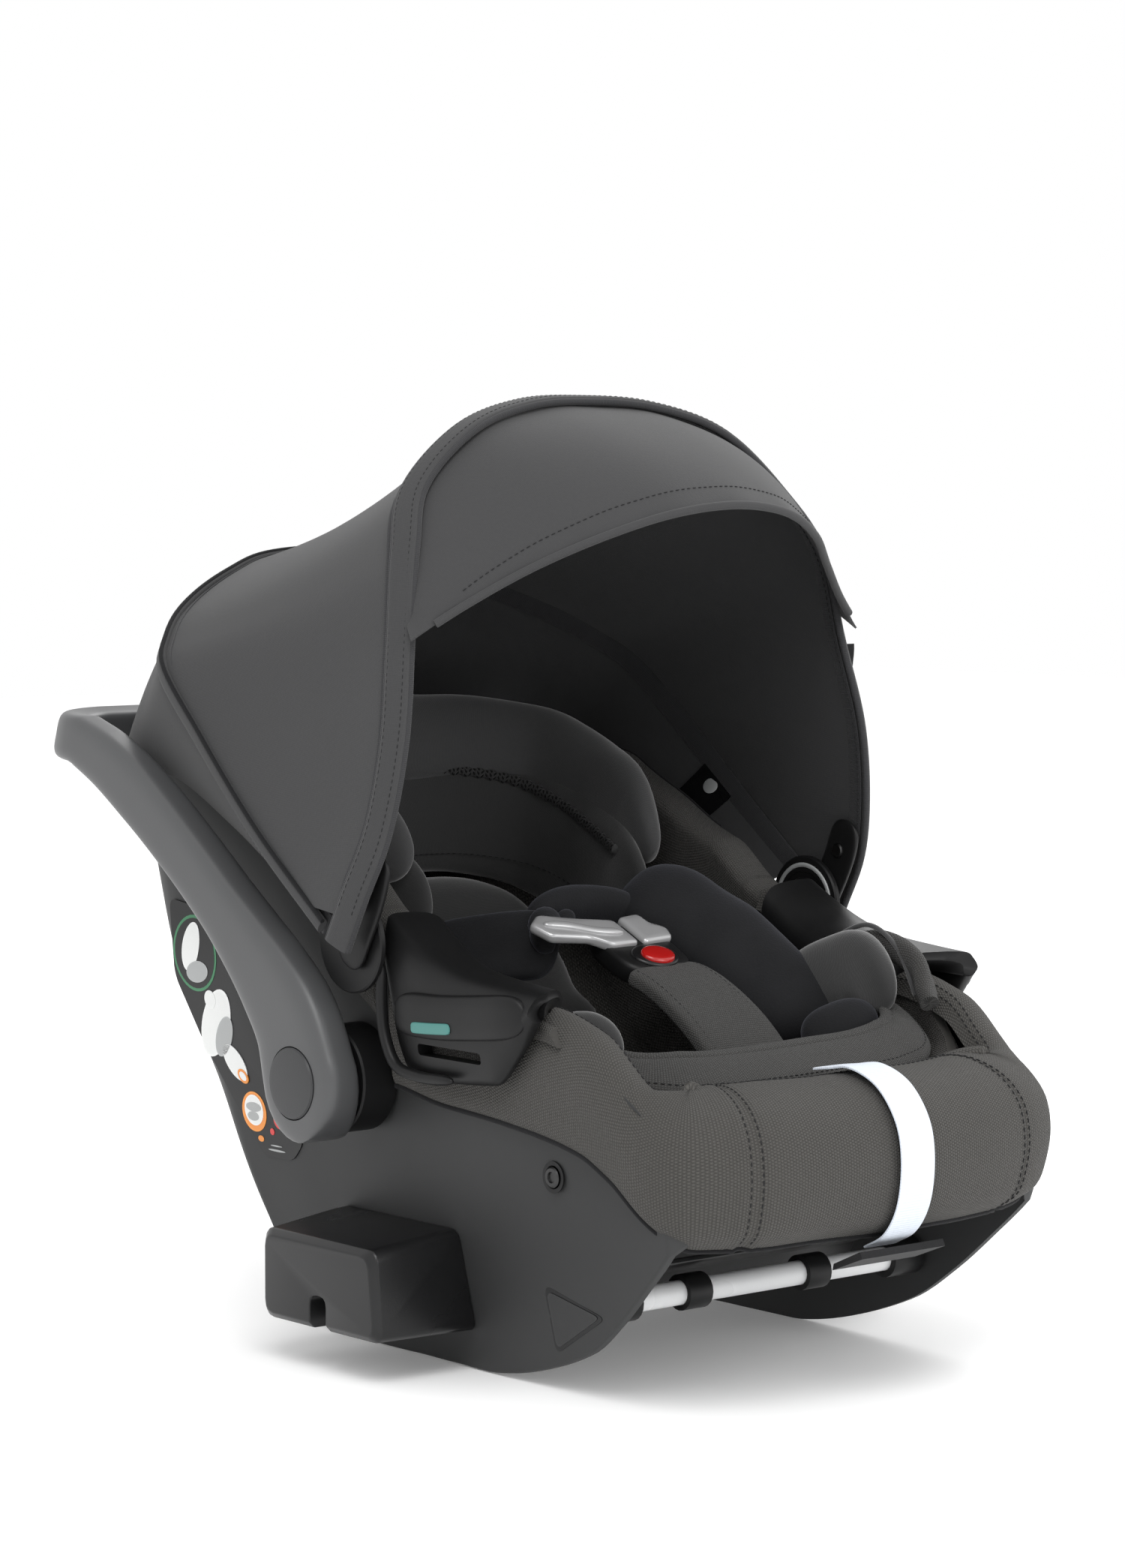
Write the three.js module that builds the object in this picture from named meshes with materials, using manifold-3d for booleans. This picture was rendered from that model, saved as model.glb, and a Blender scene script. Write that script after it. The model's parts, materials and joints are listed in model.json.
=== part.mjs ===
// Infant car seat: a rocking bucket shell with a carry handle, a folding canopy, a harness and soft padding.
// Millimetres. +Z is up, the child's feet point to -Y, and the origin is on the floor below the box centre.
import * as THREE from 'three';
import { mergeVertices } from 'three/addons/utils/BufferGeometryUtils.js';
import Module from 'manifold-3d';

const wasm = await Module();
wasm.setup();

// ---- driving dimensions -------------------------------------------------------------------------
const FAN_Y = 10; // the shell's cross-sections all pass through this line, parallel to X
const FAN_Z = 420;
const SHELL_WALL = 4;
const RAIL_EDGE = 2; // rounding of a rocker rail's lower edge
const FOAM_WALL = 13;
const LINER_GAP = 1;
const COVER_WALL = 6;
const HUB_Y = 12;
const HUB_Z = 175;
const LOBE_R = 37;
const ARM_X = 200; // middle of a handle arm
const ARM_HALF = 14.5;
const BUTTON_R = 22;
const BUTTON_TRAVEL = 4;
const PIVOT_Y = -24;
const PIVOT_Z = 258;
const TUBE_Y = -176;
const TUBE_Z = 56;
const TUBE_R = 7.5;
const BOW_WIDTH = 17;
const FABRIC = 3;
const GAP = 0.3;

const group = new THREE.Group();
const finish = (color, roughness, metalness = 0) =>
  new THREE.MeshStandardMaterial({ color, roughness, metalness });
const SHELL = finish(0x303132, 0.6);
const HANDLE = finish(0x4a4b4c, 0.45);
const TRIM = finish(0x232425, 0.5);
const FOAM = finish(0xd8d8d6, 0.9);
const COVER = finish(0x514f4d, 0.95);
const INSERT = finish(0x2c2c2d, 0.95);
const CANOPY = finish(0x3f4041, 0.9);
const WEBBING = finish(0x2b2b2d, 0.9);
const WHITE = finish(0xf2f3f5, 0.8);
const METAL = finish(0xcdd0d2, 0.3, 1);
const RED = finish(0xb3211f, 0.4);
const TEAL = finish(0x4f807b, 0.5);
const LABEL = finish(0x161616, 0.5);

// ---- curves -------------------------------------------------------------------------------------
const V = (x, y, z) => new THREE.Vector3(x, y, z);
const rad = THREE.MathUtils.degToRad;
const lerp = THREE.MathUtils.lerp;

// A smooth curve through [x, y] pairs in rising x that never overshoots them.
function track(pairs) {
  const slope = pairs.slice(1).map((p, i) => (p[1] - pairs[i][1]) / (p[0] - pairs[i][0]));
  const tangent = pairs.map((p, i) => {
    if (i === 0) return slope[0];
    if (i === pairs.length - 1) return slope[i - 1];
    const product = slope[i - 1] * slope[i];
    return product <= 0 ? 0 : (2 * product) / (slope[i - 1] + slope[i]);
  });
  return (x) => {
    let i = pairs.findIndex((p, k) => k > 0 && x <= p[0]) - 1;
    if (x <= pairs[0][0]) return pairs[0][1];
    if (i < 0) return pairs[pairs.length - 1][1];
    const h = pairs[i + 1][0] - pairs[i][0];
    const t = (x - pairs[i][0]) / h;
    const bow = t * t * (3 - 2 * t);
    const rise = h * t * (1 - t) * (tangent[i] * (1 - t) - tangent[i + 1] * t);
    return lerp(pairs[i][1], pairs[i + 1][1], bow) + rise;
  };
}

// The same through points [y, z] of the side view, as a radius over the fan's angle.
const fanTrack = (points) =>
  track(
    points.map(([y, z]) => [
      THREE.MathUtils.radToDeg(Math.atan2(FAN_Z - z, FAN_Y - y)),
      Math.hypot(FAN_Z - z, FAN_Y - y),
    ]),
  );
const fanPoint = (a, r, x) => V(x, FAN_Y - r * Math.cos(rad(a)), Math.max(0, FAN_Z - r * Math.sin(rad(a))));

// ---- solids -------------------------------------------------------------------------------------
function capFaces(ring, offset) {
  const normal = V(0, 0, 0);
  ring.forEach((p, i) => normal.add(p.clone().cross(ring[(i + 1) % ring.length])));
  normal.normalize();
  const side = (Math.abs(normal.x) < 0.7 ? V(1, 0, 0) : V(0, 1, 0)).cross(normal).normalize();
  const up = normal.clone().cross(side);
  const flat = ring.map((p) => new THREE.Vector2(p.dot(side), p.dot(up)));
  return THREE.ShapeUtils.triangulateShape(flat, []).map((f) => f.map((i) => i + offset));
}

function outward(positions, faces) {
  let volume = 0;
  const at = (i) => V(positions[3 * i], positions[3 * i + 1], positions[3 * i + 2]);
  faces.forEach(([a, b, c]) => {
    volume += at(a).dot(at(b).cross(at(c)));
  });
  const index = volume < 0 ? faces.map(([a, b, c]) => [a, c, b]) : faces;
  const geometry = new THREE.BufferGeometry();
  geometry.setAttribute('position', new THREE.Float32BufferAttribute(positions, 3));
  geometry.setIndex(index.flat());
  return geometry;
}

// A closed body through rings with the same number of points, each ring running the same way round.
function loft(rings) {
  const n = rings[0].length;
  const positions = rings.flat().flatMap((p) => [p.x, p.y, p.z]);
  const faces = [];
  for (let i = 0; i < rings.length - 1; i++) {
    for (let j = 0; j < n; j++) {
      const k = (j + 1) % n;
      faces.push([i * n + j, i * n + k, (i + 1) * n + k]);
      faces.push([i * n + j, (i + 1) * n + k, (i + 1) * n + j]);
    }
  }
  capFaces(rings[0], 0).forEach(([a, b, c]) => faces.push([a, c, b]));
  capFaces(rings.at(-1), (rings.length - 1) * n).forEach((f) => faces.push(f));
  return outward(positions, faces);
}

// A rounded rectangle of half sizes p and q, as 2-D points.
function section(p, q, count = 12, power = 4) {
  return Array.from({ length: count }, (_, i) => {
    const t = (2 * Math.PI * (i + 0.5)) / count;
    const bend = (v) => Math.sign(v) * Math.abs(v) ** (2 / power);
    return [p * bend(Math.cos(t)), q * bend(Math.sin(t))];
  });
}

// A body whose section [a, b] runs along points: a lies along wide(i), made square to the path, and b across it.
function sweep(points, wide, outline) {
  const rings = points.map((p, i) => {
    const ahead = points[Math.min(i + 1, points.length - 1)];
    const tangent = ahead.clone().sub(points[Math.max(i - 1, 0)]).normalize();
    const a = wide(i).clone().addScaledVector(tangent, -wide(i).dot(tangent)).normalize();
    const b = tangent.clone().cross(a);
    return outline(i).map(([u, v]) => p.clone().addScaledVector(a, u).addScaledVector(b, v));
  });
  return loft(rings);
}

// A flat plate of outline [y, z] between two distances along X.
function plate(outline, x0, x1) {
  const ring = (x) => outline.map(([y, z]) => V(x, y, z));
  return loft([ring(x0), ring(x1)]);
}

function discAlongX(radius, x0, x1, y, z, segments = 28) {
  const round = Array.from({ length: segments }, (_, i) => {
    const t = (2 * Math.PI * i) / segments;
    return [y + radius * Math.cos(t), z + radius * Math.sin(t)];
  });
  return plate(round, x0, x1);
}

function solidOf(geometry) {
  const bare = geometry.clone();
  bare.deleteAttribute('normal');
  bare.deleteAttribute('uv');
  const merged = mergeVertices(bare, 1e-4);
  const vertProperties = new Float32Array(merged.attributes.position.array);
  const triVerts = new Uint32Array(merged.index.array);
  return new wasm.Manifold(new wasm.Mesh({ numProp: 3, vertProperties, triVerts }));
}

function geometryOf(solid) {
  const { vertProperties, triVerts } = solid.getMesh();
  const geometry = new THREE.BufferGeometry();
  geometry.setAttribute('position', new THREE.BufferAttribute(new Float32Array(vertProperties), 3));
  geometry.setIndex(new THREE.BufferAttribute(new Uint32Array(triVerts), 1));
  return geometry;
}

const cut = (body, ...tools) => {
  const left = tools.reduce((rest, tool) => rest.subtract(solidOf(tool)), solidOf(body));
  return geometryOf(left);
};
const fuse = (...bodies) => geometryOf(bodies.map(solidOf).reduce((whole, next) => whole.add(next)));

function add(name, geometry, material) {
  const piece = new THREE.Mesh(geometry, material);
  piece.name = name;
  group.add(piece);
}

// Mirrors a shape in the YZ plane.
function mirrored(geometry) {
  const copy = geometry.clone();
  copy.scale(-1, 1, 1);
  const index = Array.from(copy.index.array);
  for (let i = 0; i < index.length; i += 3) [index[i], index[i + 1]] = [index[i + 1], index[i]];
  copy.setIndex(index);
  return copy;
}

function addPair(name, geometry, material) {
  add(`${name}_left`, mirrored(geometry), material);
  add(`${name}_right`, geometry, material);
}

// ---- the bucket's side view and width -----------------------------------------------------------
const FRONT_A = 43.2; // fan angles of the shell's front and back ends
const BACK_A = 167;
const rimR = fanTrack([
  [-244, 181], [-198, 212], [-161, 222], [-120, 224], [-80, 239], [-45, 256], [-10, 273], [25, 298], [70, 319],
  [127, 349], [200, 368], [219, 371],
]);
const outerR = fanTrack([
  [-258, 168], [-270, 145], [-272, 118], [-265, 105], [-235, 75], [-207, 50], [-174, 27], [-125, 9], [-78, 0],
  [-40, 0], [0, 0], [40, 0], [75, 0], [103, 19], [136, 67], [173, 114], [200, 150], [223, 187], [244, 225],
  [261, 264], [274, 298], [280, 340], [281, 372],
]);
const railDepth = track([
  [47, 0.4], [51, 16], [55, 34], [60, 50], [66, 62], [75, 66], [90, 58], [100, 44], [112, 22], [124, 0.4],
]);
const WALL_BULGE = 0.6; // the walls bow out a little between rim and floor
const cornerR = track([[43, 44], [46, 44], [50, RAIL_EDGE], [104, RAIL_EDGE], [124, 46], [150, 56], [167, 58]]);
const innerCornerR = track([[43, 47], [47, 46], [54, 34], [104, 36], [124, 42], [150, 50], [167, 52]]);
const crown = track([[43, 13], [50, 8], [60, 3], [130, 3], [167, 4]]);
const halfWidthAt = track([[0, 130], [60, 143], [120, 152], [175, 157], [250, 163], [400, 156]]);
const shellX = (a, r) => halfWidthAt(fanPoint(a, r, 0).z);
const floorR = (a) => outerR(a) - railDepth(a);

const spread = (from, to, count) => {
  const step = (to - from) / (count - 1);
  return Array.from({ length: count }, (_, i) => from + step * i);
};
const shellAngles = [
  FRONT_A, 44.4, 45.8, 47.3, 49, 51.5, 55.5, 60, 65, 70, 75, 79.5, 82, 84.5, 90, 97, 104, 110, 117, 125,
  134, 143, 152, 160, BACK_A,
];
const anglesBetween = (from, to) => shellAngles.filter((a) => a >= from && a <= to);

// The seat's surface, where the cover lies: nearly level under the thighs, then up the back.
const seatR = fanTrack([
  [-240, 183], [-195, 175], [-150, 160], [-100, 143], [-40, 125], [20, 121], [80, 140], [131, 175], [171, 219],
  [211, 264], [242, 318], [259, 362],
]);

// One side of a U wall from its rim down to the middle of its floor, inset from the shell's outside.
function innerHalf(a, inset, bottom, top, steps = 3) {
  const wide = Math.max(4, innerCornerR(a) - inset * 0.6);
  const c = Math.min(wide, bottom - top - 2);
  const points = [];
  for (let k = 0; k <= steps; k++) {
    const r = lerp(top, bottom - c, k / steps);
    points.push([shellX(a, r) - inset + WALL_BULGE * Math.sin((Math.PI * k) / steps), r]);
  }
  for (let j = 1; j <= 3; j++) {
    const t = rad(30 * j);
    const r = bottom - c + c * Math.sin(t);
    points.push([shellX(a, bottom - c) - inset - wide * (1 - Math.cos(t)), r]);
  }
  const corner = points.at(-1);
  points.push([corner[0] * 0.55, bottom + crown(a) * 0.7]);
  points.push([0, bottom + crown(a)]);
  return points;
}

// The outside of the shell from its rim down, round the rocker rail, to the middle of its underside.
function outerHalf(a, top) {
  const bottom = outerR(a);
  const c = cornerR(a);
  const cTop = Math.min(c, bottom - top - 2);
  const points = [];
  for (let k = 0; k <= 3; k++) {
    const r = lerp(top, bottom - cTop, k / 3);
    points.push([shellX(a, r) + WALL_BULGE * Math.sin((Math.PI * k) / 3), r]);
  }
  const wallX = points.at(-1)[0];
  for (let j = 1; j <= 3; j++) {
    const t = rad(30 * j);
    points.push([wallX - c * (1 - Math.cos(t)), bottom - cTop + cTop * Math.sin(t)]);
  }
  const railX = points.at(-1)[0] - SHELL_WALL;
  points.push([railX, bottom]);
  points.push([railX - 1, floorR(a)]);
  points.push([railX * 0.55, floorR(a) + crown(a) * 0.7]);
  points.push([0, floorR(a) + crown(a)]);
  return points;
}

// A ring from two half profiles: out along one, back along the other, mirrored in X.
function doubleRing(a, outer, inner) {
  const put = ([x, r]) => fanPoint(a, r, x);
  const flip = ([x, r]) => fanPoint(a, r, -x);
  const left = outer.slice(0, -1).reverse().map(flip);
  const back = inner.slice(0, -1).map(flip);
  return [...outer.map(put), ...left, ...back, ...inner.slice().reverse().map(put)];
}

function shellTub() {
  const inside = (a) => innerHalf(a, SHELL_WALL, floorR(a) - SHELL_WALL, rimR(a));
  return loft(shellAngles.map((a) => doubleRing(a, outerHalf(a, rimR(a)), inside(a))));
}

function foamLiner() {
  const inset = SHELL_WALL + LINER_GAP;
  const outside = (a) => innerHalf(a, inset + 0.5, floorR(a) - inset - 0.5, rimR(a) + 1);
  const linerBottom = (a) => seatR(a) + COVER_WALL + LINER_GAP + 0.5;
  const inside = (a) => innerHalf(a, inset + FOAM_WALL - 0.6, linerBottom(a), rimR(a) + 1.5);
  return loft(anglesBetween(49, 163).map((a) => doubleRing(a, outside(a), inside(a))));
}

// ---- seat cover: lines the bucket, turns over its rim and hangs down outside --------------------
const skirtR = track([
  [45.8, 387], [49.5, 351], [51.5, 337], [60.7, 295], [72.2, 266], [79.5, 253], [82, 225], [84, 206], [90, 190],
  [100, 168], [112, 142], [148, 155], [164, 212], [167, 232],
]);
const LINER_INSET = SHELL_WALL + LINER_GAP + FOAM_WALL + LINER_GAP;

function coverHalf(a, lift, inset, bottom) {
  const rim = rimR(a);
  const hem = Math.max(skirtR(a), rim + 6);
  const points = [];
  for (let k = 0; k <= 2; k++) {
    const r = lerp(hem, rim + 1, k / 2);
    points.push([shellX(a, r) + lift + 2 * WALL_BULGE * Math.sin((Math.PI * k) / 2), r]);
  }
  const edge = shellX(a, rim);
  points.push([edge + lift - 1, rim - lift]);
  points.push([edge - inset + 1, rim - lift]);
  return [...points, ...innerHalf(a, inset, bottom, rim + 1).slice(1)];
}

function seatCover() {
  const inner = (a) => coverHalf(a, 1.5, LINER_INSET, seatR(a) + COVER_WALL);
  const outer = (a) => coverHalf(a, 1.5 + COVER_WALL, LINER_INSET + COVER_WALL, seatR(a));
  return loft(anglesBetween(47, BACK_A).map((a) => doubleRing(a, outer(a), inner(a))));
}

// How far out the shell's front wall stands at x, along the fan.
function frontWallR(a, x) {
  const bottom = outerR(a);
  const c = cornerR(a);
  const height = Math.min(c, bottom - rimR(a) - 2);
  const flat = shellX(a, bottom - height) - c;
  const over = Math.min(1, Math.max(0, Math.abs(x) - flat) / c);
  const belly = crown(a) * Math.max(0, 1 - (x / flat) ** 2);
  return bottom - height * (1 - Math.sqrt(1 - over ** 2)) + belly;
}

// The padded roll over the front lip, between two curved seams.
function frontBolster() {
  const outside = [
    [-287, 104], [-301, 121], [-306, 146], [-300, 168], [-284, 184], [-264, 191], [-246, 189],
  ];
  const rings = spread(-1, 1, 15).map((s) => {
    const x = 150 * Math.sin((s * Math.PI) / 2);
    const drop = frontWallR(45, 0) - frontWallR(45, x);
    const slim = 1 - 0.25 * (x / 150) ** 4;
    const skin = outside.map(([y, z]) => {
      const rise = (z - 104) / 85;
      const back = (0.35 + 0.3 * rise) * drop;
      return V(x, -268 + (y + 268) * slim + back, 150 + (z - 150) * slim + 0.75 * rise * drop);
    });
    const wallAt = (a) => fanPoint(a, frontWallR(Math.max(a, FRONT_A), x) + 3, x);
    const wall = [42.7, 43.2, 44.2, 45.4, 46.8].map(wallAt);
    const lip = fanPoint(42.6, frontWallR(FRONT_A, x) - 16, x);
    return [...skin, lip, ...wall];
  });
  return loft(rings);
}

// ---- carry handle -------------------------------------------------------------------------------
const LOBE_DIR = V(0, 13, 33).normalize();
const armLine = [
  [12, 175, 37], [25, 208, 33], [46, 232, 28.5], [74, 257, 23.5], [104, 281, 20.5], [142, 309, 20],
  [186, 338, 20], [226, 360, 18.5], [256, 372, 16.5],
];

function handlePath() {
  const stations = [];
  [36, 32, 25, 14].forEach((d) => {
    const p = V(ARM_X, HUB_Y, HUB_Z).addScaledVector(LOBE_DIR, -d);
    stations.push([p, Math.sqrt(LOBE_R ** 2 - d ** 2), ARM_HALF]);
  });
  armLine.forEach(([y, z, w], i) => stations.push([V(ARM_X, y, z), w, lerp(ARM_HALF, 12, i / 8)]));
  const turn = 40;
  [20, 45, 70, 90].forEach((deg) => {
    const x = ARM_X - turn * (1 - Math.cos(rad(deg)));
    stations.push([V(x, 259.5 + turn * Math.sin(rad(deg)), 373 + deg / 45), 15.5, 10]);
  });
  stations.push([V(80, 300, 375), 15.5, 9]);
  return stations;
}

function handleBar() {
  const half = handlePath();
  const other = half.map(([p, w, t]) => [V(-p.x, p.y, p.z), w, t]).reverse();
  const whole = [...half, ...other];
  const across = (i) => {
    const [p] = whole[i];
    return p.y < 258 ? V(0, -p.z + HUB_Z - 120, p.y - HUB_Y + 130) : V(0, -0.33, 0.94);
  };
  const bar = sweep(whole.map(([p]) => p), across, (i) => section(whole[i][1], whole[i][2], 14));
  const wells = [1, -1].map((s) => discAlongX(BUTTON_R + 0.5, s * 203, s * 220, HUB_Y, HUB_Z));
  const bores = [1, -1].map((s) => discAlongX(10, s * 180, s * 198, HUB_Y, HUB_Z, 24));
  return cut(bar, ...wells, ...bores);
}

function handleButton() {
  const cap = discAlongX(BUTTON_R, 208, 216, HUB_Y, HUB_Z);
  return cut(cap, discAlongX(15, 207, 213, HUB_Y, HUB_Z));
}

// A round-wire coil along X, drawn at its pressed length.
function coil(radius, wire, x0, x1, y, z, turns) {
  const steps = Math.round(turns * 9);
  const points = spread(0, 1, steps + 1).map((t) => {
    const w = 2 * Math.PI * turns * t;
    return V(lerp(x0, x1, t), y + radius * Math.cos(w), z + radius * Math.sin(w));
  });
  return sweep(points, () => V(1, 0, 0), () => section(wire, wire, 6, 2));
}

function buildHandle() {
  add('handle_bar', handleBar(), HANDLE);
  addPair('handle_release_button', handleButton(), TRIM);
  addPair('release_button_spring', coil(11, 0.7, 204.2, 207.9, HUB_Y, HUB_Z, 2), METAL);
  addPair('handle_hub_drum', discAlongX(33.5, 161.5, 184.6, HUB_Y, HUB_Z, 32), TRIM);
  addPair('handle_axle', discAlongX(9.7, 185, 197.5, HUB_Y, HUB_Z, 24), METAL);
}

// ---- pieces fixed on the shell's sides ----------------------------------------------------------
function rounded(corners, radius, steps = 4) {
  const points = [];
  corners.forEach((corner, i) => {
    const before = corners[(i + corners.length - 1) % corners.length];
    const after = corners[(i + 1) % corners.length];
    const from = new THREE.Vector2(before[0] - corner[0], before[1] - corner[1]).setLength(radius);
    const to = new THREE.Vector2(after[0] - corner[0], after[1] - corner[1]).setLength(radius);
    for (let k = 0; k <= steps; k++) {
      const t = k / steps;
      points.push([
        corner[0] + from.x * (1 - t) ** 2 + to.x * t ** 2,
        corner[1] + from.y * (1 - t) ** 2 + to.y * t ** 2,
      ]);
    }
  });
  return points;
}

// A skin that follows the shell's side wall between two heights off it, cut to an outline [y, z].
function wallSkin(outline, low, high, rows = 8) {
  const zs = outline.map((p) => p[1]);
  const bottom = Math.min(...zs) - 1;
  const top = Math.max(...zs) + 1;
  const slab = loft(
    spread(bottom, top, rows).map((z) => [
      V(halfWidthAt(z) + low, -320, z), V(halfWidthAt(z) + high, -320, z),
      V(halfWidthAt(z) + high, 320, z), V(halfWidthAt(z) + low, 320, z),
    ]),
  );
  return geometryOf(solidOf(slab).intersect(solidOf(plate(outline, 100, 260))));
}

function dockingBlock() {
  const ring = (x, grow, topZ, frontY) => rounded(
    [[48 + grow, 26 - grow], [48 + grow, topZ], [frontY, topZ], [-70 - grow, 26 - grow]], 8, 3,
  ).map(([y, z]) => V(x, y, z));
  const body = loft([ring(120, 1, 91, -70), ring(160, 1, 88, -68), ring(208, 0, 82, -64), ring(212, -4, 78, -60)]);
  const wall = loft(
    spread(10, 110, 9).map((z) => [
      V(60, -120, z), V(halfWidthAt(z) + 0.6, -120, z), V(halfWidthAt(z) + 0.6, 120, z), V(60, 120, z),
    ]),
  );
  const notch = plate(rounded([[-2, 20], [-2, 47], [-18, 47], [-18, 20]], 6, 3), 150, 230);
  return cut(body, wall, notch);
}

function sideTriangle() {
  return wallSkin(rounded([[-146, 62], [-147, 27], [-192, 53]], 5), 1.2, 2.6);
}

function labelPanel() {
  const outline = rounded([[214, 270], [210, 219], [183, 176], [127, 110], [96, 110], [82, 124], [150, 262]], 7);
  return wallSkin(outline, 1.2, 2.2, 10);
}

function sideScrew() {
  return discAlongX(6, halfWidthAt(134) + 1.2, halfWidthAt(134) + 4, -166, 134, 16);
}

// The belt guide: an upside-down U over the rim with a belt slot through its outer plate. The flange inside
// the rim stops short of the plate's front end.
const GUIDE_FRONT = -178;
const GUIDE_BACK = -36;
const GUIDE_SLANT = 34;
function beltGuide() {
  const top = track([[-178, 240], [-150, 242], [-110, 246], [-80, 254], [-46, 270], [-36, 276]]);
  const low = track([[-178, 228], [-162, 206], [-140, 187], [-64, 183], [-48, 198], [-36, 240]]);
  const swell = track([[-178, 14], [-80, 14], [-44, 10], [-36, 9]]);
  const rings = spread(GUIDE_FRONT, GUIDE_BACK, 9).map((y) => {
    const t = top(y);
    const b = Math.min(low(y), t - 12);
    const skin = halfWidthAt(t) + 9;
    const slant = (GUIDE_SLANT * (GUIDE_BACK - y)) / (GUIDE_BACK - GUIDE_FRONT);
    const at = (off, z) => V(skin + off, y + slant * Math.min(1, Math.max(0, -off / 43)), z);
    return [
      at(1, b), at(swell(y) - 5, b), at(swell(y), lerp(b, t, 0.4)), at(swell(y) - 2, t - 3),
      at(4, t + 5), at(-30, t + 3), at(-41, t - 6), at(-43, t - 26),
      at(-38.5, t - 26), at(-37, t - 6), at(-30, t - 1.5), at(0, t - 1.5),
    ];
  });
  return loft(rings);
}

function beltGuideInsert() {
  const outline = section(17, 3.6, 12, 4).map(([u, v]) => [-93 + u, 214 + v - 0.12 * u]);
  return plate(outline, 186.4, 189);
}

function buildSides() {
  const slot = plate(rounded([[-74, 199], [-74, 206], [-134, 206], [-134, 199]], 2.5, 2), 160, 230);
  addPair('docking_block', dockingBlock(), TRIM);
  addPair('side_badge_plate', sideTriangle(), SHELL);
  addPair('side_label', labelPanel(), LABEL);
  addPair('side_screw', sideScrew(), METAL);
  addPair('belt_guide', cut(beltGuide(), slot), TRIM);
  addPair('belt_guide_insert', beltGuideInsert(), TEAL);
}

// ---- front tube under the lip -------------------------------------------------------------------
function buildTube() {
  add('front_tube', discAlongX(TUBE_R, -118, 118, TUBE_Y, TUBE_Z, 20), METAL);
  const bore = discAlongX(TUBE_R + GAP, -140, 140, TUBE_Y, TUBE_Z, 20);
  const blindBore = discAlongX(TUBE_R + GAP, 100, 119, TUBE_Y, TUBE_Z, 20);
  const socket = cut(discAlongX(12, 104, 129, TUBE_Y, TUBE_Z, 20), blindBore);
  addPair('tube_socket', socket, TRIM);
  [-57, 41].forEach((x, i) => {
    const clip = cut(discAlongX(11, x - 9, x + 9, TUBE_Y, TUBE_Z, 20), bore);
    add(`tube_clip_${i + 1}`, clip, TRIM);
  });
  const bracket = plate([[-150, 70], [-188, 80], [-190, 77], [-160, 66], [-148, 44], [-144, 45]], -96, 96);
  add('tube_bracket', bracket, TRIM);
}

// ---- canopy -------------------------------------------------------------------------------------
const mirrorLine = (half) => [...half, ...half.slice(0, -1).reverse().map((p) => V(-p.x, p.y, p.z))];
const smooth = (points, count) => new THREE.CatmullRomCurve3(points, false, 'centripetal').getSpacedPoints(count);
const BOW_STEPS = 30;
const frontBowLine = smooth(
  mirrorLine([
    V(209, -27, 262), V(208, -44, 295), V(201, -56, 330), V(192, -61, 383), V(181, -53, 440), V(170, -44, 500),
    V(150, -27, 536), V(104, -20, 573), V(50, -12, 589), V(0, -8, 592),
  ]),
  BOW_STEPS,
);
const backBowLine = smooth(
  mirrorLine([
    V(204, -6, 272), V(205, 60, 323), V(202, 125, 379), V(195, 176, 422), V(178, 196, 438), V(159, 212, 451),
    V(130, 229, 465), V(95, 244, 478), V(58, 257, 488), V(0, 260, 492),
  ]),
  BOW_STEPS,
);
const hemLine = smooth(
  mirrorLine([
    V(181, 4, 262), V(181, 62, 292), V(181, 120, 322), V(180, 185, 350), V(177, 240, 352), V(162, 274, 350),
    V(132, 286, 347), V(60, 289, 346), V(0, 290, 346),
  ]),
  BOW_STEPS,
);

const canopyCentre = V(0, 10, 300);
const outFrom = (p) => V(p.x, p.y - canopyCentre.y, p.z - canopyCentre.z).normalize();

// A sheet between two lines of equal length, sagging in the middle, cut back by margin at each edge.
function panel(lineA, lineB, marginA, marginB, sag, from = 0, to = BOW_STEPS) {
  const rings = [];
  for (let i = from; i <= to; i++) {
    const a = lineA[i];
    const b = lineB[i];
    const length = a.distanceTo(b);
    const normal = outFrom(a.clone().lerp(b, 0.5));
    const s = spread(marginA / length, 1 - marginB / length, 4);
    const skin = (t, depth) => a.clone().lerp(b, t).addScaledVector(normal, -sag(i) * 4 * t * (1 - t) - depth);
    rings.push([...s.map((t) => skin(t, 0)), ...s.map((t) => skin(t, FABRIC)).reverse()]);
  }
  return loft(rings);
}

const VISOR_FROM = 7;
const VISOR_TO = BOW_STEPS - VISOR_FROM;
function visorEdge() {
  const half = [
    V(184, -68, 446), V(155, -82, 466), V(122, -104, 488), V(87, -130, 507), V(46, -149, 521), V(0, -155, 526),
  ];
  return smooth(mirrorLine(half), VISOR_TO - VISOR_FROM);
}

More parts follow.
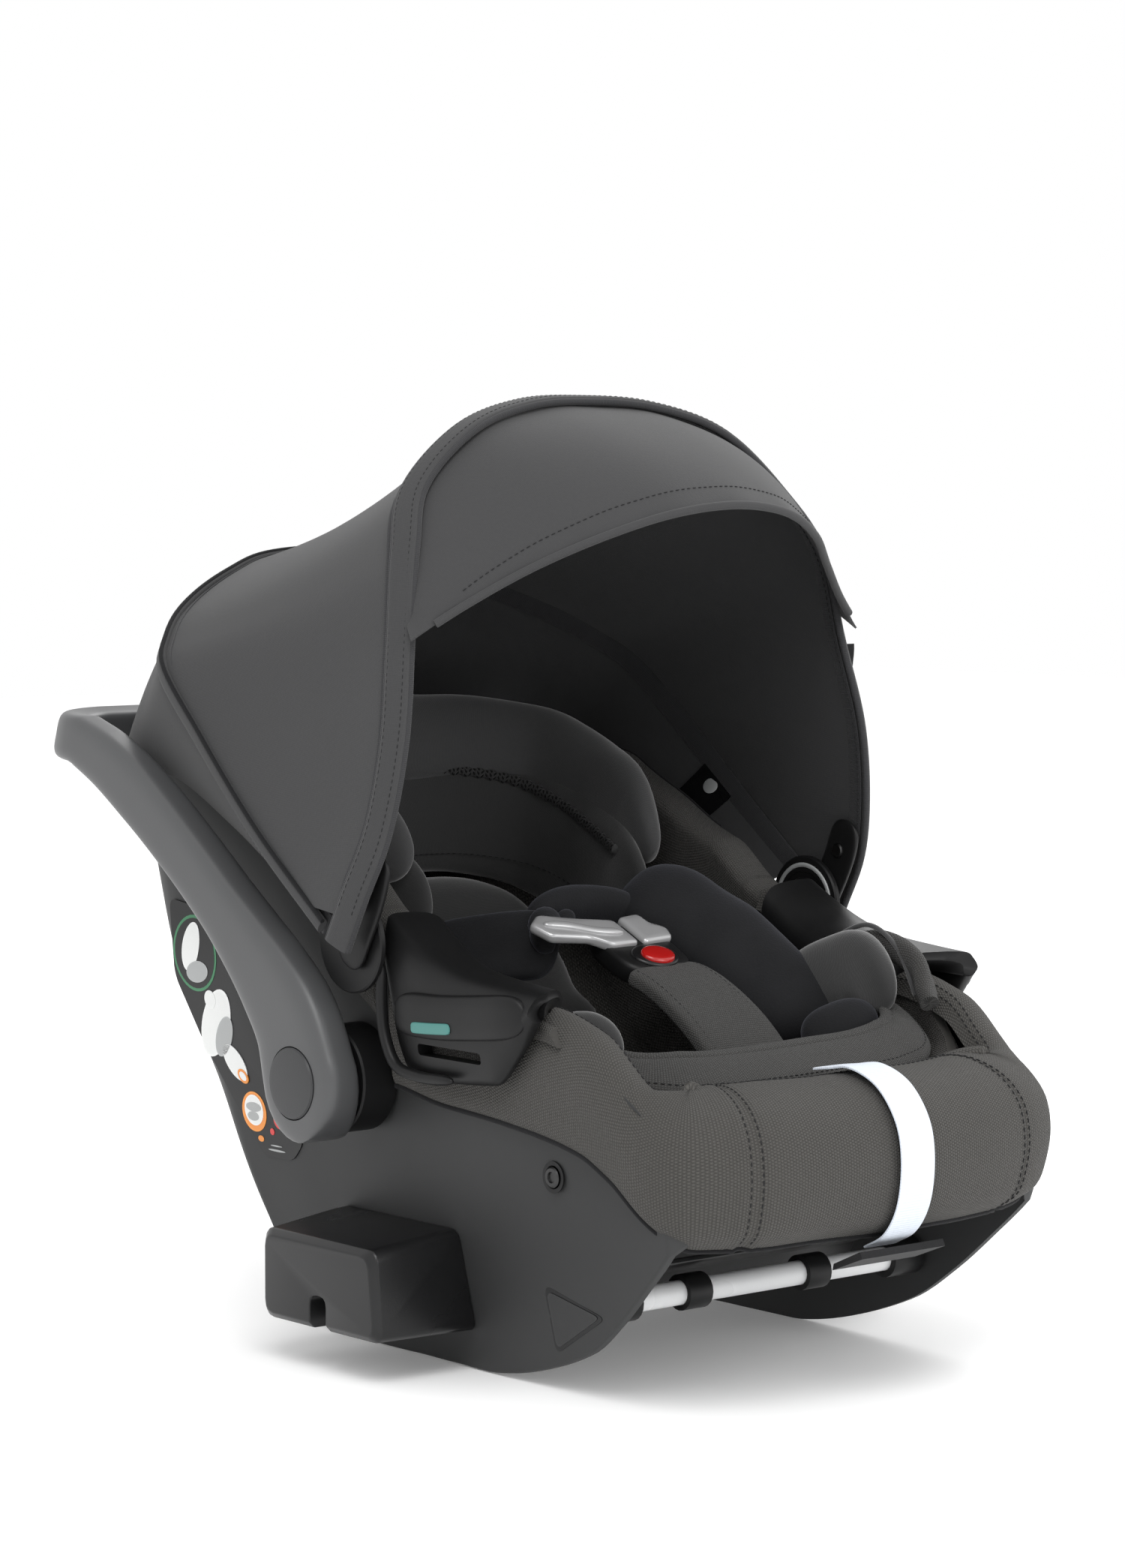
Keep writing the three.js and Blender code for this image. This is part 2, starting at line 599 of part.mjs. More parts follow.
function buildCanopy() {
  const band = (line, width, thickness) => {
    return sweep(line, (i) => outFrom(line[i]), () => section(thickness, width, 8, 6));
  };
  add('canopy_front_bow', band(frontBowLine, BOW_WIDTH / 2, 2.5), CANOPY);
  add('canopy_back_bow', band(backBowLine, 5, 3), CANOPY);
  const taper = (i, depth) => depth * Math.sin((Math.PI * i) / BOW_STEPS);
  const inner = (line, depth) => line.map((p) => p.clone().addScaledVector(outFrom(p), -depth));
  const mainSag = (i) => taper(i, 12);
  const mainPanel = panel(inner(backBowLine, 3), inner(frontBowLine, 2), 9, 12, mainSag, 1, BOW_STEPS - 1);
  add('canopy_main_panel', mainPanel, CANOPY);
  add('canopy_rear_panel', panel(inner(backBowLine, 3), hemLine, 9, 0.5, () => -4, 1, BOW_STEPS - 1), CANOPY);
  const edge = visorEdge();
  const bowFront = frontBowLine.slice(VISOR_FROM, VISOR_TO + 1);
  const visor = panel(inner(bowFront, 4), edge, 15, 6, () => -9, 1, VISOR_TO - VISOR_FROM - 1);
  add('visor_panel', visor, CANOPY);
  add('visor_wire', sweep(edge, (i) => outFrom(edge[i]), () => section(2.5, 2.5, 8, 2)), CANOPY);
  const disc = discAlongX(26, 186, 192, PIVOT_Y + 8, PIVOT_Z + 4);
  addPair('canopy_pivot', disc, TRIM);
}

// ---- soft inserts and harness -------------------------------------------------------------------
// A pad lying on the liner: rows of fan angle, middle X, half width, height off the liner and thickness.
function fanPad(rows, power = 3) {
  const rings = rows.map(([a, x, halfWide, lift, thick]) => {
    const base = seatR(a) - lift;
    return section(halfWide, thick / 2, 12, power).map(([u, v]) => fanPoint(a, base - thick / 2 + v, x + u));
  });
  return loft(rings);
}

const dome = (t) => Math.max(0.25, Math.sqrt(Math.max(0, 1 - (2 * t - 1) ** 4)));

function padAlong(points, halfWide, halfThick, wide, steps = 10) {
  const line = new THREE.CatmullRomCurve3(points).getSpacedPoints(steps);
  return sweep(line, () => wide, (i) => section(halfWide * dome(i / steps), halfThick * dome(i / steps), 10, 3));
}

function buildInserts() {
  const base = spread(52, 132, 12).map((a, i) => [a, 0, 88 * dome(i / 11), 2, 20 * dome(i / 11)]);
  add('body_insert', fanPad(base), INSERT);
  const lip = spread(48.6, 51.2, 4).map((a) => [a, 0, 108, 3, 9]);
  add('insert_lip', fanPad(lip, 6), COVER);
  const wing = [V(104, -64, 186), V(108, -105, 214), V(109, -148, 232), V(104, -182, 220)];
  add('hip_wing_right', padAlong(wing, 25, 9, V(0, 0.5, 1)), INSERT);
  const pressed = [V(-103, -66, 170), V(-107, -105, 192), V(-108, -142, 205), V(-104, -168, 203)];
  add('hip_wing_left', padAlong(pressed, 22, 9, V(0, 0.5, 1)), INSERT);
  const head = [V(102, 58, 300), V(110, 110, 312), V(94, 168, 322), V(50, 196, 326), V(0, 202, 327)];
  add('head_insert', padAlong(mirrorLine(head), 46, 12, V(0, 0.45, 0.9), 18), INSERT);
}

function buildHarness() {
  const leftBand = [V(-80, 62, 232), V(-62, 20, 244), V(-34, -14, 254)];
  add('shoulder_pad_left', padAlong(leftBand, 24, 8, V(0.5, 0.5, 0.2)), WEBBING);
  const rightRoll = [V(58, -12, 262), V(66, -60, 244), V(78, -110, 216)];
  add('shoulder_pad_right', padAlong(rightRoll, 24, 13, V(1, 0.3, 0)), WEBBING);
  const slope = V(0, -0.9, -0.42).normalize();
  const lift = V(0, -0.42, 0.9);
  const at = (s, h) => V(0, -66, 244).addScaledVector(slope, s).addScaledVector(lift, h);
  const block = (x0, x1, s0, s1, h0, h1) => {
    const ring = (x) => [[s0, h0], [s1, h0], [s1, h1], [s0, h1]].map(([s, h]) => at(s, h).setX(x));
    return loft([ring(x0), ring(x1)]);
  };
  const well = block(-9, 9, 4, 17, -6, 12);
  const sided = (side, near, far, ...rest) => {
    const [low, high] = side > 0 ? [near, far] : [-far, -near];
    return block(low, high, ...rest);
  };
  const channels = [1, -1].map((side) => sided(side, 3, 17, -30, -6, -3, 2));
  add('buckle_body', cut(block(-21, 21, -24, 25, -8, 8), well, ...channels), TRIM);
  add('buckle_button', block(-8.5, 8.5, 4.6, 16.4, -1, 9.5), RED);
  [1, -1].forEach((side) => {
    const tab = sided(side, 4, 16, -40, -7, -2, 1);
    const plateBody = sided(side, 4, 30, -52, -38, -2, 1);
    add(`buckle_tongue_${side > 0 ? 'right' : 'left'}`, fuse(tab, plateBody), METAL);
  });
  const crotch = [V(0, -92, 226), V(0, -122, 218), V(0, -142, 203), V(0, -150, 192)];
  add('crotch_pad', padAlong(crotch, 29, 5, V(1, 0, 0), 8), COVER);
  const strap = [
    V(0, -246, 194), V(0, -266, 195.5), V(0, -290, 187), V(0, -306, 168), V(0, -311, 146), V(0, -306, 118),
    V(0, -296, 101), V(0, -280, 92),
  ];
  add('adjuster_strap', sweep(smooth(strap, 16), () => V(1, 0, 0), () => section(13.5, 0.9, 8, 6)), WHITE);
  add('strap_loop', plate([[-298, 94], [-276, 84], [-275, 80], [-300, 90]], -34, 34), TRIM);
}

add('shell_tub', shellTub(), SHELL);
add('foam_liner', foamLiner(), FOAM);
add('seat_cover', seatCover(), COVER);
add('front_bolster', frontBolster(), COVER);
buildHandle();
buildSides();
buildTube();
buildCanopy();
buildInserts();
buildHarness();

export default group;
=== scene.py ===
"""Looks of an infant car seat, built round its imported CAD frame."""

import json
import math

import bmesh
import bpy
import numpy as np
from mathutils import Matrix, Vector

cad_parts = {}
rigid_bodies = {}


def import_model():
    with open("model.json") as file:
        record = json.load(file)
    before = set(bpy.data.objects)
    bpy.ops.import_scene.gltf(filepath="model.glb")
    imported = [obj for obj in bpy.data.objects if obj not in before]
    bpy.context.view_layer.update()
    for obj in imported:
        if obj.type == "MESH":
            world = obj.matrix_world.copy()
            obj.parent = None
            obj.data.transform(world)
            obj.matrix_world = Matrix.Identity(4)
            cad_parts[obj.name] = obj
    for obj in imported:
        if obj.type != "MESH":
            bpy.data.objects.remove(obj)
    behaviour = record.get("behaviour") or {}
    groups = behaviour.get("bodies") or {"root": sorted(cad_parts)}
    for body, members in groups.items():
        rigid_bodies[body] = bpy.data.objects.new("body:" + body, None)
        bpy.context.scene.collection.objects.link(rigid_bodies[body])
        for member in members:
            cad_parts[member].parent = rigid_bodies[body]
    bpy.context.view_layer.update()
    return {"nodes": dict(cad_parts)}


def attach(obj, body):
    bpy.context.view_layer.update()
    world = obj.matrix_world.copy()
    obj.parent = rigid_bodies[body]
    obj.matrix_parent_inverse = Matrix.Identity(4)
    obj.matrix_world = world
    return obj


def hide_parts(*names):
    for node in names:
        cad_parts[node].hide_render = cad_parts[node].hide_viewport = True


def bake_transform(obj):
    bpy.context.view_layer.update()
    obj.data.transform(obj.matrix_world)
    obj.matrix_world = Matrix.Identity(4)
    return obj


bl_info = {
    "name": "Infant car seat scene",
    "version": (1, 0, 0),
    "blender": (4, 5, 0),
    "location": "3D View > Sidebar > Car seat",
    "description": "Builds the shell, handle, canopy, padding and harness of an infant car seat",
    "category": "Object",
}

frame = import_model()
MM = 0.001
FAN_Y, FAN_Z = 10.0, 420.0
SHELL_WALL = 4.0
SIDES = ((1, "right"), (-1, "left"))
HUB = (12, 175)
SCREW = (-166, 134)
BOW_DISC = (-16, 262)
TAG_SHARE = 0.195
SHELL_FAN = (43.2, 167, 130)
COVER_FAN = (46.8, 167, 120)
GUIDE_FRONT, GUIDE_BACK, GUIDE_SLANT = -178, -36, 34
CAMERA_LENS = 94.74
CAMERA_SENSOR = 36
CAMERA_AT = (-1.6885, -2.0014, 0.5361)
CAMERA_AIM = (0.6411, 0.7641, -0.0715)
FLOOR_DROP = 0.0008
FLOOR_GLOW = 0.12


# ---- curves ------------------------------------------------------------------------------------
def track(pairs):
    """A smooth curve through (x, y) pairs that never overshoots them."""
    xs = np.array([p[0] for p in pairs], float)
    ys = np.array([p[1] for p in pairs], float)
    slope = np.diff(ys) / np.diff(xs)
    tangent = np.concatenate([slope[:1], np.zeros(len(xs) - 2), slope[-1:]])
    for i in range(1, len(xs) - 1):
        product = slope[i - 1] * slope[i]
        tangent[i] = 2 * product / (slope[i - 1] + slope[i]) if product > 0 else 0

    def at(x):
        x = np.clip(np.asarray(x, float), xs[0], xs[-1])
        i = np.clip(np.searchsorted(xs, x, side="left") - 1, 0, len(xs) - 2)
        h = xs[i + 1] - xs[i]
        t = (x - xs[i]) / h
        rise = h * t * (1 - t) * (tangent[i] * (1 - t) - tangent[i + 1] * t)
        return ys[i] + (ys[i + 1] - ys[i]) * t * t * (3 - 2 * t) + rise

    return at


def fan_track(points):
    pairs = [
        (math.degrees(math.atan2(FAN_Z - z, FAN_Y - y)), math.hypot(FAN_Z - z, FAN_Y - y))
        for y, z in points
    ]
    return track(pairs)


def fan_point(a, r, x):
    a = np.radians(a)
    z = np.maximum(0, FAN_Z - r * np.sin(a))
    return np.stack(np.broadcast_arrays(np.asarray(x, float), FAN_Y - r * np.cos(a), z), -1)


def smooth_line(points, count):
    """Evenly spaced points along a centripetal Catmull-Rom curve."""
    p = np.array(points, float)
    p = np.vstack([2 * p[0] - p[1], p, 2 * p[-1] - p[-2]])
    fine = []
    for i in range(1, len(p) - 2):
        p0, p1, p2, p3 = p[i - 1 : i + 3]
        d = [max(1e-6, np.linalg.norm(b - a)) ** 0.5 for a, b in ((p0, p1), (p1, p2), (p2, p3))]
        m1 = (p2 - p1) + d[1] * ((p1 - p0) / d[0] - (p2 - p0) / (d[0] + d[1]))
        m2 = (p2 - p1) + d[1] * ((p3 - p2) / d[2] - (p3 - p1) / (d[1] + d[2]))
        t = np.linspace(0, 1, 24, endpoint=False)[:, None]
        fine.append(
            (2 * t**3 - 3 * t**2 + 1) * p1 + (t**3 - 2 * t**2 + t) * m1 + (3 * t**2 - 2 * t**3) * p2
            + (t**3 - t**2) * m2
        )
    fine = np.vstack(fine + [p[-2]])
    run = np.concatenate([[0], np.cumsum(np.linalg.norm(np.diff(fine, axis=0), axis=1))])
    even = np.linspace(0, run[-1], count)
    return np.stack([np.interp(even, run, fine[:, k]) for k in range(3)], 1)


def mirror_line(half):
    return [tuple(p) for p in half] + [(-p[0], p[1], p[2]) for p in reversed(half[:-1])]


def unit(v):
    v = np.asarray(v, float)
    return v / np.maximum(1e-9, np.linalg.norm(v, axis=-1, keepdims=True))


def ripple(p, size, seed=0.0):
    """A smooth field from -1 to 1 with lumps of about that size, in millimetres."""
    p = np.asarray(p, float) / size
    a = np.sin(p[..., 0] * 2.1 + 1.3 * np.sin(p[..., 1] * 1.7 + seed) + seed)
    b = np.sin(p[..., 1] * 2.3 + 1.1 * np.sin(p[..., 2] * 1.9 - seed) + 2 * seed)
    c = np.sin(p[..., 2] * 2.2 + 1.2 * np.sin(p[..., 0] * 1.6 + seed) + 3 * seed)
    return (a + b + c) / 3


# ---- meshes ------------------------------------------------------------------------------------
def finish_mesh(name, verts, faces, uvs, material, sharp=38.0):
    """A mesh object in metres, one UV per face corner, sharp only over that angle."""
    mesh = bpy.data.meshes.new(name)
    mesh.from_pydata([tuple(v) for v in np.asarray(verts) * MM], [], faces)
    layer = mesh.uv_layers.new(name="UVMap")
    layer.data.foreach_set("uv", np.asarray(uvs, np.float32).ravel())
    work = bmesh.new()
    work.from_mesh(mesh)
    bmesh.ops.recalc_face_normals(work, faces=work.faces)
    work.to_mesh(mesh)
    work.free()
    mesh.shade_smooth()
    mesh.set_sharp_from_angle(angle=math.radians(sharp))
    mesh.materials.append(MATERIALS[material])
    obj = bpy.data.objects.new(name, mesh)
    bpy.context.scene.collection.objects.link(obj)
    return obj


def lengths(grid, axis):
    step = np.linalg.norm(np.diff(grid, axis=axis), axis=-1) * MM
    zero = np.zeros_like(np.take(step, [0], axis=axis))
    return np.cumsum(np.concatenate([zero, step], axis=axis), axis=axis)


def skins(name, outer, inner, material, sharp=38.0):
    """A closed body between two point grids of one shape, joined along their four edges."""
    outer, inner = np.asarray(outer, float), np.asarray(inner, float)
    n, m = outer.shape[:2]
    across = lengths(outer, 1)
    across = across - across[:, [m // 2]]
    along = np.broadcast_to(lengths(outer, 0).mean(1, keepdims=True), (n, m))
    flat = np.stack([across, along], -1).reshape(-1, 2)
    verts = np.vstack([outer.reshape(-1, 3), inner.reshape(-1, 3)])
    low = n * m
    faces = []
    for i in range(n - 1):
        for j in range(m - 1):
            quad = (i * m + j, i * m + j + 1, (i + 1) * m + j + 1, (i + 1) * m + j)
            faces.append(quad)
            faces.append(tuple(low + q for q in reversed(quad)))
    edge = [j for j in range(m)] + [i * m + m - 1 for i in range(1, n)]
    edge += [(n - 1) * m + j for j in range(m - 2, -1, -1)] + [i * m for i in range(n - 2, 0, -1)]
    for k, a in enumerate(edge):
        b = edge[(k + 1) % len(edge)]
        faces.append((a, low + a, low + b, b))
    uvs = [flat[v % low] for f in faces for v in f]
    return finish_mesh(name, verts, faces, uvs, material, sharp)


def tube(name, rings, material, sharp=38.0, closed=False):
    """A closed body through rings of points, ended with a point in its first and last ring."""
    rings = np.asarray(rings, float)
    n, m = rings.shape[:2]
    wrapped = np.concatenate([rings, rings[:, :1]], 1)
    across = lengths(wrapped, 1)
    along = lengths(wrapped, 0).mean(1)
    verts = rings.reshape(-1, 3)
    faces, uvs = [], []
    rows = n if closed else n - 1
    for i in range(rows):
        k = (i + 1) % n
        for j in range(m):
            q = (j + 1) % m
            faces.append((i * m + j, i * m + q, k * m + q, k * m + j))
            below = along[i + 1] if i + 1 < n else along[-1] + 0.001
            uvs += [
                (across[i, j], along[i]), (across[i, j + 1], along[i]), (across[k, j + 1], below),
                (across[k, j], below)
            ]
    if not closed:
        verts = np.vstack([verts, rings[0].mean(0), rings[-1].mean(0)])
        for row, tip in ((0, n * m), (n - 1, n * m + 1)):
            for j in range(m):
                faces.append((row * m + j, row * m + (j + 1) % m, tip))
                uvs += [
                    (across[row, j], along[row]), (across[row, j + 1], along[row]),
                    (across[row, j], along[row])
                ]
    return finish_mesh(name, verts, faces, uvs, material, sharp)


def section(p, q, count=28, power=2.6):
    t = 2 * np.pi * (np.arange(count) + 0.5) / count
    bend = lambda v: np.sign(v) * np.abs(v) ** (2 / power)
    return np.stack([p * bend(np.cos(t)), q * bend(np.sin(t))], 1)


def sweep_rings(line, wide, outlines):
    """Rings of an outline along a line: its first axis lies along wide, made square to the line."""
    line = np.asarray(line, float)
    tangent = unit(np.vstack([line[1] - line[0], line[2:] - line[:-2], line[-1] - line[-2]]))
    wide = np.broadcast_to(np.asarray(wide, float), line.shape)
    a = unit(wide - (wide * tangent).sum(-1, keepdims=True) * tangent)
    b = np.cross(tangent, a)
    return np.stack([
        line[i] + outlines[i][:, :1] * a[i] + outlines[i][:, 1:] * b[i] for i in range(len(line))
    ])


def cord(name, line, wide, p, q, material, count=12, power=2, sharp=80, trim=0):
    """A band, piping or webbing of one section along a line, trimmed by points at both ends."""
    rings = sweep_rings(line, wide, [section(p, q, count, power)] * len(line))
    return tube(name, rings[trim : len(rings) - trim], material, sharp)


def dome(t, power=4.0, least=0.04):
    return np.maximum(least, np.maximum(0, 1 - np.abs(2 * t - 1) ** power) ** 0.5)


def cushion(
    name, points, half_wide, half_thick, wide, material, steps=48, power=2.6, wrinkle=1.0, seed=1.0,
    ends=4.0
):
    """A stuffed pad along a line, rounded at its ends, with soft lumps on its skin."""
    line = smooth_line(points, steps)
    t = np.linspace(0, 1, steps)
    t = 0.5 - 0.5 * np.cos(np.pi * t)
    even = np.linspace(0, 1, steps)
    line = np.stack([np.interp(t, even, line[:, k]) for k in range(3)], 1)
    scale = dome(t, ends)
    outlines = [section(half_wide * s, half_thick * min(1, s + 0.02), 36, power) for s in scale]
    rings = sweep_rings(line, wide, outlines)
    middle = rings.mean(1, keepdims=True)
    swell = 1 + wrinkle * 0.06 * ripple(rings, 26, seed) * np.minimum(1, scale * 1.5)[:, None]
    rings = middle + (rings - middle) * swell[..., None]
    return tube(name, rings, material, 80)


def circle(count):
    return np.linspace(0, 2 * np.pi, count, endpoint=False)


def ring_outline(radius, y, z, count=48):
    t = circle(count)
    return np.stack([y + radius * np.cos(t), z + radius * np.sin(t)], 1)


def rounded(corners, radius, steps=6):
    pts, n = [], len(corners)
    for i, c in enumerate(corners):
        c = np.array(c, float)
        back = unit(np.array(corners[i - 1]) - c) * radius
        ahead = unit(np.array(corners[(i + 1) % n]) - c) * radius
        for t in np.linspace(0, 1, steps + 1):
            pts.append(c + back * (1 - t) ** 2 + ahead * t**2)
    return np.array(pts)


def disc_stack(name, side, levels, y, z, material, count=64):
    """A turned body along X from (radius, x) levels."""
    rings = [
        np.column_stack([np.full(count, side * x), ring_outline(r, y, z, count)]) for r, x in levels
    ]
    return tube(name, rings, material, 30)


def make_plain(obj):
    """Turns what the modifiers give into the object's own mesh."""
    final = bpy.data.meshes.new_from_object(
        obj.evaluated_get(bpy.context.evaluated_depsgraph_get())
    )
    obj.modifiers.clear()
    obj.data = final
    return final


def softened(node, name, material, width, segments=3, angle=32.0):
    """A copy of a CAD node with its edges rounded over."""
    mesh = frame["nodes"][node].data.copy()
    mesh.name = name
    work = bmesh.new()
    work.from_mesh(mesh)
    bmesh.ops.remove_doubles(work, verts=work.verts, dist=2e-6)
    bmesh.ops.dissolve_limit(work, angle_limit=math.radians(2), verts=work.verts, edges=work.edges)
    bmesh.ops.recalc_face_normals(work, faces=work.faces)
    work.to_mesh(mesh)
    work.free()
    obj = bpy.data.objects.new(name, mesh)
    bpy.context.scene.collection.objects.link(obj)
    bevel = obj.modifiers.new("round", "BEVEL")
    bevel.width = width * MM
    bevel.segments = segments
    bevel.limit_method = "ANGLE"
    bevel.angle_limit = math.radians(angle)
    bevel.harden_normals = False
    final = make_plain(obj)
    final.shade_smooth()
    final.set_sharp_from_angle(angle=math.radians(34))
    final.materials.clear()
    final.materials.append(MATERIALS[material])
    return obj


def settle(obj, body, *nodes, slot=None, fill=None):
    """The piece moves with a body and stands for CAD nodes, which it hides. Slot and fill are not
    used.
    """
    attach(obj, body)
    if nodes:
        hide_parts(*nodes)


# ---- materials ---------------------------------------------------------------------------------
def shader(name, roughness=0.5, metallic=0.0, sheen=0.0, coat=0.0, specular=0.5):
    mat = bpy.data.materials.new(name)
    mat.use_nodes = True
    bsdf = mat.node_tree.nodes["Principled BSDF"]
    bsdf.inputs["Roughness"].default_value = roughness
    bsdf.inputs["Metallic"].default_value = metallic
    bsdf.inputs["Sheen Weight"].default_value = sheen
    bsdf.inputs["Sheen Roughness"].default_value = 0.45
    bsdf.inputs["Coat Weight"].default_value = coat
    bsdf.inputs["Specular IOR Level"].default_value = specular
    return mat, mat.node_tree, bsdf


def node(tree, kind, *values, **props):
    made = tree.nodes.new(kind)
    for key, value in props.items():
        setattr(made, key, value)
    for i, value in enumerate(values):
        if value is None:
            continue
        if isinstance(value, bpy.types.NodeSocket):
            tree.links.new(value, made.inputs[i])
        else:
            made.inputs[i].default_value = value
    return made.outputs[0]


def math_node(tree, operation, a, b=None):
    return node(tree, "ShaderNodeMath", a, b, operation=operation)


def mix_color(tree, factor, a, b):
    made = tree.nodes.new("ShaderNodeMix")
    made.data_type = "RGBA"
    for socket, value in zip((made.inputs[0], made.inputs[6], made.inputs[7]), (factor, a, b)):
        if isinstance(value, bpy.types.NodeSocket):
            tree.links.new(value, socket)
        else:
            socket.default_value = value
    return made.outputs[2]


def shade(color, k):
    return tuple(min(1.0, c * k) for c in color) + (1.0,)


def bump(tree, height, strength, distance, bsdf, below=None):
    made = tree.nodes.new("ShaderNodeBump")
    made.inputs["Strength"].default_value = strength
    made.inputs["Distance"].default_value = distance
    tree.links.new(height, made.inputs["Height"])
    if below is not None:
        tree.links.new(below, made.inputs["Normal"])
    tree.links.new(made.outputs[0], bsdf.inputs["Normal"])
    return made.outputs[0]


def plastic(
    name, color, roughness=0.5, grain=0.35, size=1400.0, coat=0.0, metallic=0.0, specular=0.5
):
    """Moulded plastic or paint: fine grain, faint cloudiness and a painted highlight on its convex
    edges.
    """
    mat, tree, bsdf = shader(name, roughness, metallic, coat=coat, specular=specular)
    place = tree.nodes.new("ShaderNodeTexCoord").outputs["Object"]
    fine = node(tree, "ShaderNodeTexNoise", place, None, size, 3.0)
    cloud = node(tree, "ShaderNodeTexNoise", place, None, 9.0, 4.0)
    spread = mix_color(tree, cloud, shade(color, 0.93), shade(color, 1.07))
    speck = mix_color(tree, fine, shade(color, 0.9), shade(color, 1.12))
    base = mix_color(tree, 0.45, spread, speck)
    point = tree.nodes.new("ShaderNodeNewGeometry").outputs["Pointiness"]
    # painted highlight: convex edges, found by pointiness, are mixed towards a colour 1.7 times
    # brighter
    edge_highlight = node(tree, "ShaderNodeMapRange", point, 0.53, 0.62, 0.0, 0.35)
    tree.links.new(mix_color(tree, edge_highlight, base, shade(color, 1.7)), bsdf.inputs["Base Color"])
    rough = node(tree, "ShaderNodeMapRange", cloud, 0.3, 0.7, roughness - 0.05, roughness + 0.05)
    tree.links.new(rough, bsdf.inputs["Roughness"])
    bump(tree, fine, grain, 0.0002, bsdf)
    return mat


def cloth(
    name, color, pitch, kind="basket", depth=0.0005, sheen=0.25, contrast=0.5, strength=0.8,
    drift=0.12, rows=1.0
):
    """Woven or knitted cloth of that thread pitch in metres, laid along the piece's length."""
    mat, tree, bsdf = shader(name, 0.88, sheen=sheen, specular=0.25)
    flat = node(tree, "ShaderNodeUVMap", uv_map="UVMap")
    parts = tree.nodes.new("ShaderNodeSeparateXYZ")
    tree.links.new(flat, parts.inputs[0])
    u = math_node(tree, "MULTIPLY", parts.outputs[0], 1 / pitch)
    v = math_node(tree, "MULTIPLY", parts.outputs[1], rows / pitch)
    if kind == "basket":
        step = math_node(
            tree, "MULTIPLY", math_node(tree, "FLOORED_MODULO", math_node(tree, "FLOOR", v), 2.0),
            0.5
        )
        u = math_node(tree, "ADD", u, step)
    if kind in ("twill", "rib"):
        lean = math_node(tree, "ADD", u, v) if kind == "twill" else v
        height = math_node(
            tree, "ABSOLUTE", math_node(tree, "SINE", math_node(tree, "MULTIPLY", lean, math.pi))
        )
    else:
        waves = [
            math_node(
                tree, "ABSOLUTE", math_node(tree, "SINE", math_node(tree, "MULTIPLY", w, math.pi))
            ) for w in (u, v)
        ]
        height = math_node(tree, "MULTIPLY", *waves)
    place = tree.nodes.new("ShaderNodeTexCoord").outputs["Object"]
    slub = node(tree, "ShaderNodeTexNoise", place, None, 0.55 / pitch, 2.0)
    large = node(tree, "ShaderNodeTexNoise", place, None, 14.0, 3.0)
    # painted shade and highlight: the low gaps of the weave are darkened and the thread crowns
    # lightened
    thread = mix_color(tree, height, shade(color, 1 - contrast), shade(color, 1 + contrast * 0.55))
    melange = mix_color(tree, slub, shade(color, 0.78), shade(color, 1.25))
    base = mix_color(tree, 0.4, thread, melange)
    soiled = mix_color(tree, large, shade(color, 1 - drift), shade(color, 1 + drift))
    tree.links.new(mix_color(tree, 0.3, base, soiled), bsdf.inputs["Base Color"])
    if kind == "mesh":
        # painted shade: the holes of the mesh are coloured almost black
        hole = node(tree, "ShaderNodeMapRange", height, 0.35, 0.6, 1.0, 0.04)
        dark = mix_color(tree, hole, shade(color, 0.12), shade(color, 1.3))
        tree.links.new(dark, bsdf.inputs["Base Color"])
        height = hole
    low = bump(tree, slub, 0.25, depth * 2, bsdf)
    bump(tree, height, strength, depth, bsdf, low)
    return mat


def velour(name, color, sheen=0.6):
    """Short pile: mottled, with a bright nap at grazing angles."""
    mat, tree, bsdf = shader(name, 0.95, sheen=sheen, specular=0.1)
    bsdf.inputs["Sheen Tint"].default_value = (0.42, 0.43, 0.5, 1.0)
    place = tree.nodes.new("ShaderNodeTexCoord").outputs["Object"]
    pile = node(tree, "ShaderNodeTexNoise", place, None, 900.0, 3.0)
    nap = node(tree, "ShaderNodeTexNoise", place, None, 45.0, 4.0)
    base = mix_color(tree, nap, shade(color, 0.65), shade(color, 1.6))
    tree.links.new(mix_color(tree, pile, base, shade(color, 1.3)), bsdf.inputs["Base Color"])
    bump(tree, pile, 0.6, 0.0006, bsdf)
    return mat


def metal(name, color, roughness, grain=300.0):
    mat, tree, bsdf = shader(name, roughness, 1.0)
    place = tree.nodes.new("ShaderNodeTexCoord").outputs["Object"]
    stretch = node(tree, "ShaderNodeMapping", place, None, None, (0.08, 1.0, 1.0))
    line = node(tree, "ShaderNodeTexNoise", stretch, None, grain * 5, 2.0)
    smear = node(tree, "ShaderNodeTexNoise", place, None, 60.0, 3.0)
    tree.links.new(
        mix_color(tree, smear, shade(color, 0.85), shade(color, 1.1)), bsdf.inputs["Base Color"]
    )
    rough = node(tree, "ShaderNodeMapRange", smear, 0.3, 0.7, roughness * 0.7, roughness * 1.4)
    tree.links.new(rough, bsdf.inputs["Roughness"])
    bump(tree, line, 0.08, 0.0002, bsdf)
    return mat


MATERIALS = {}


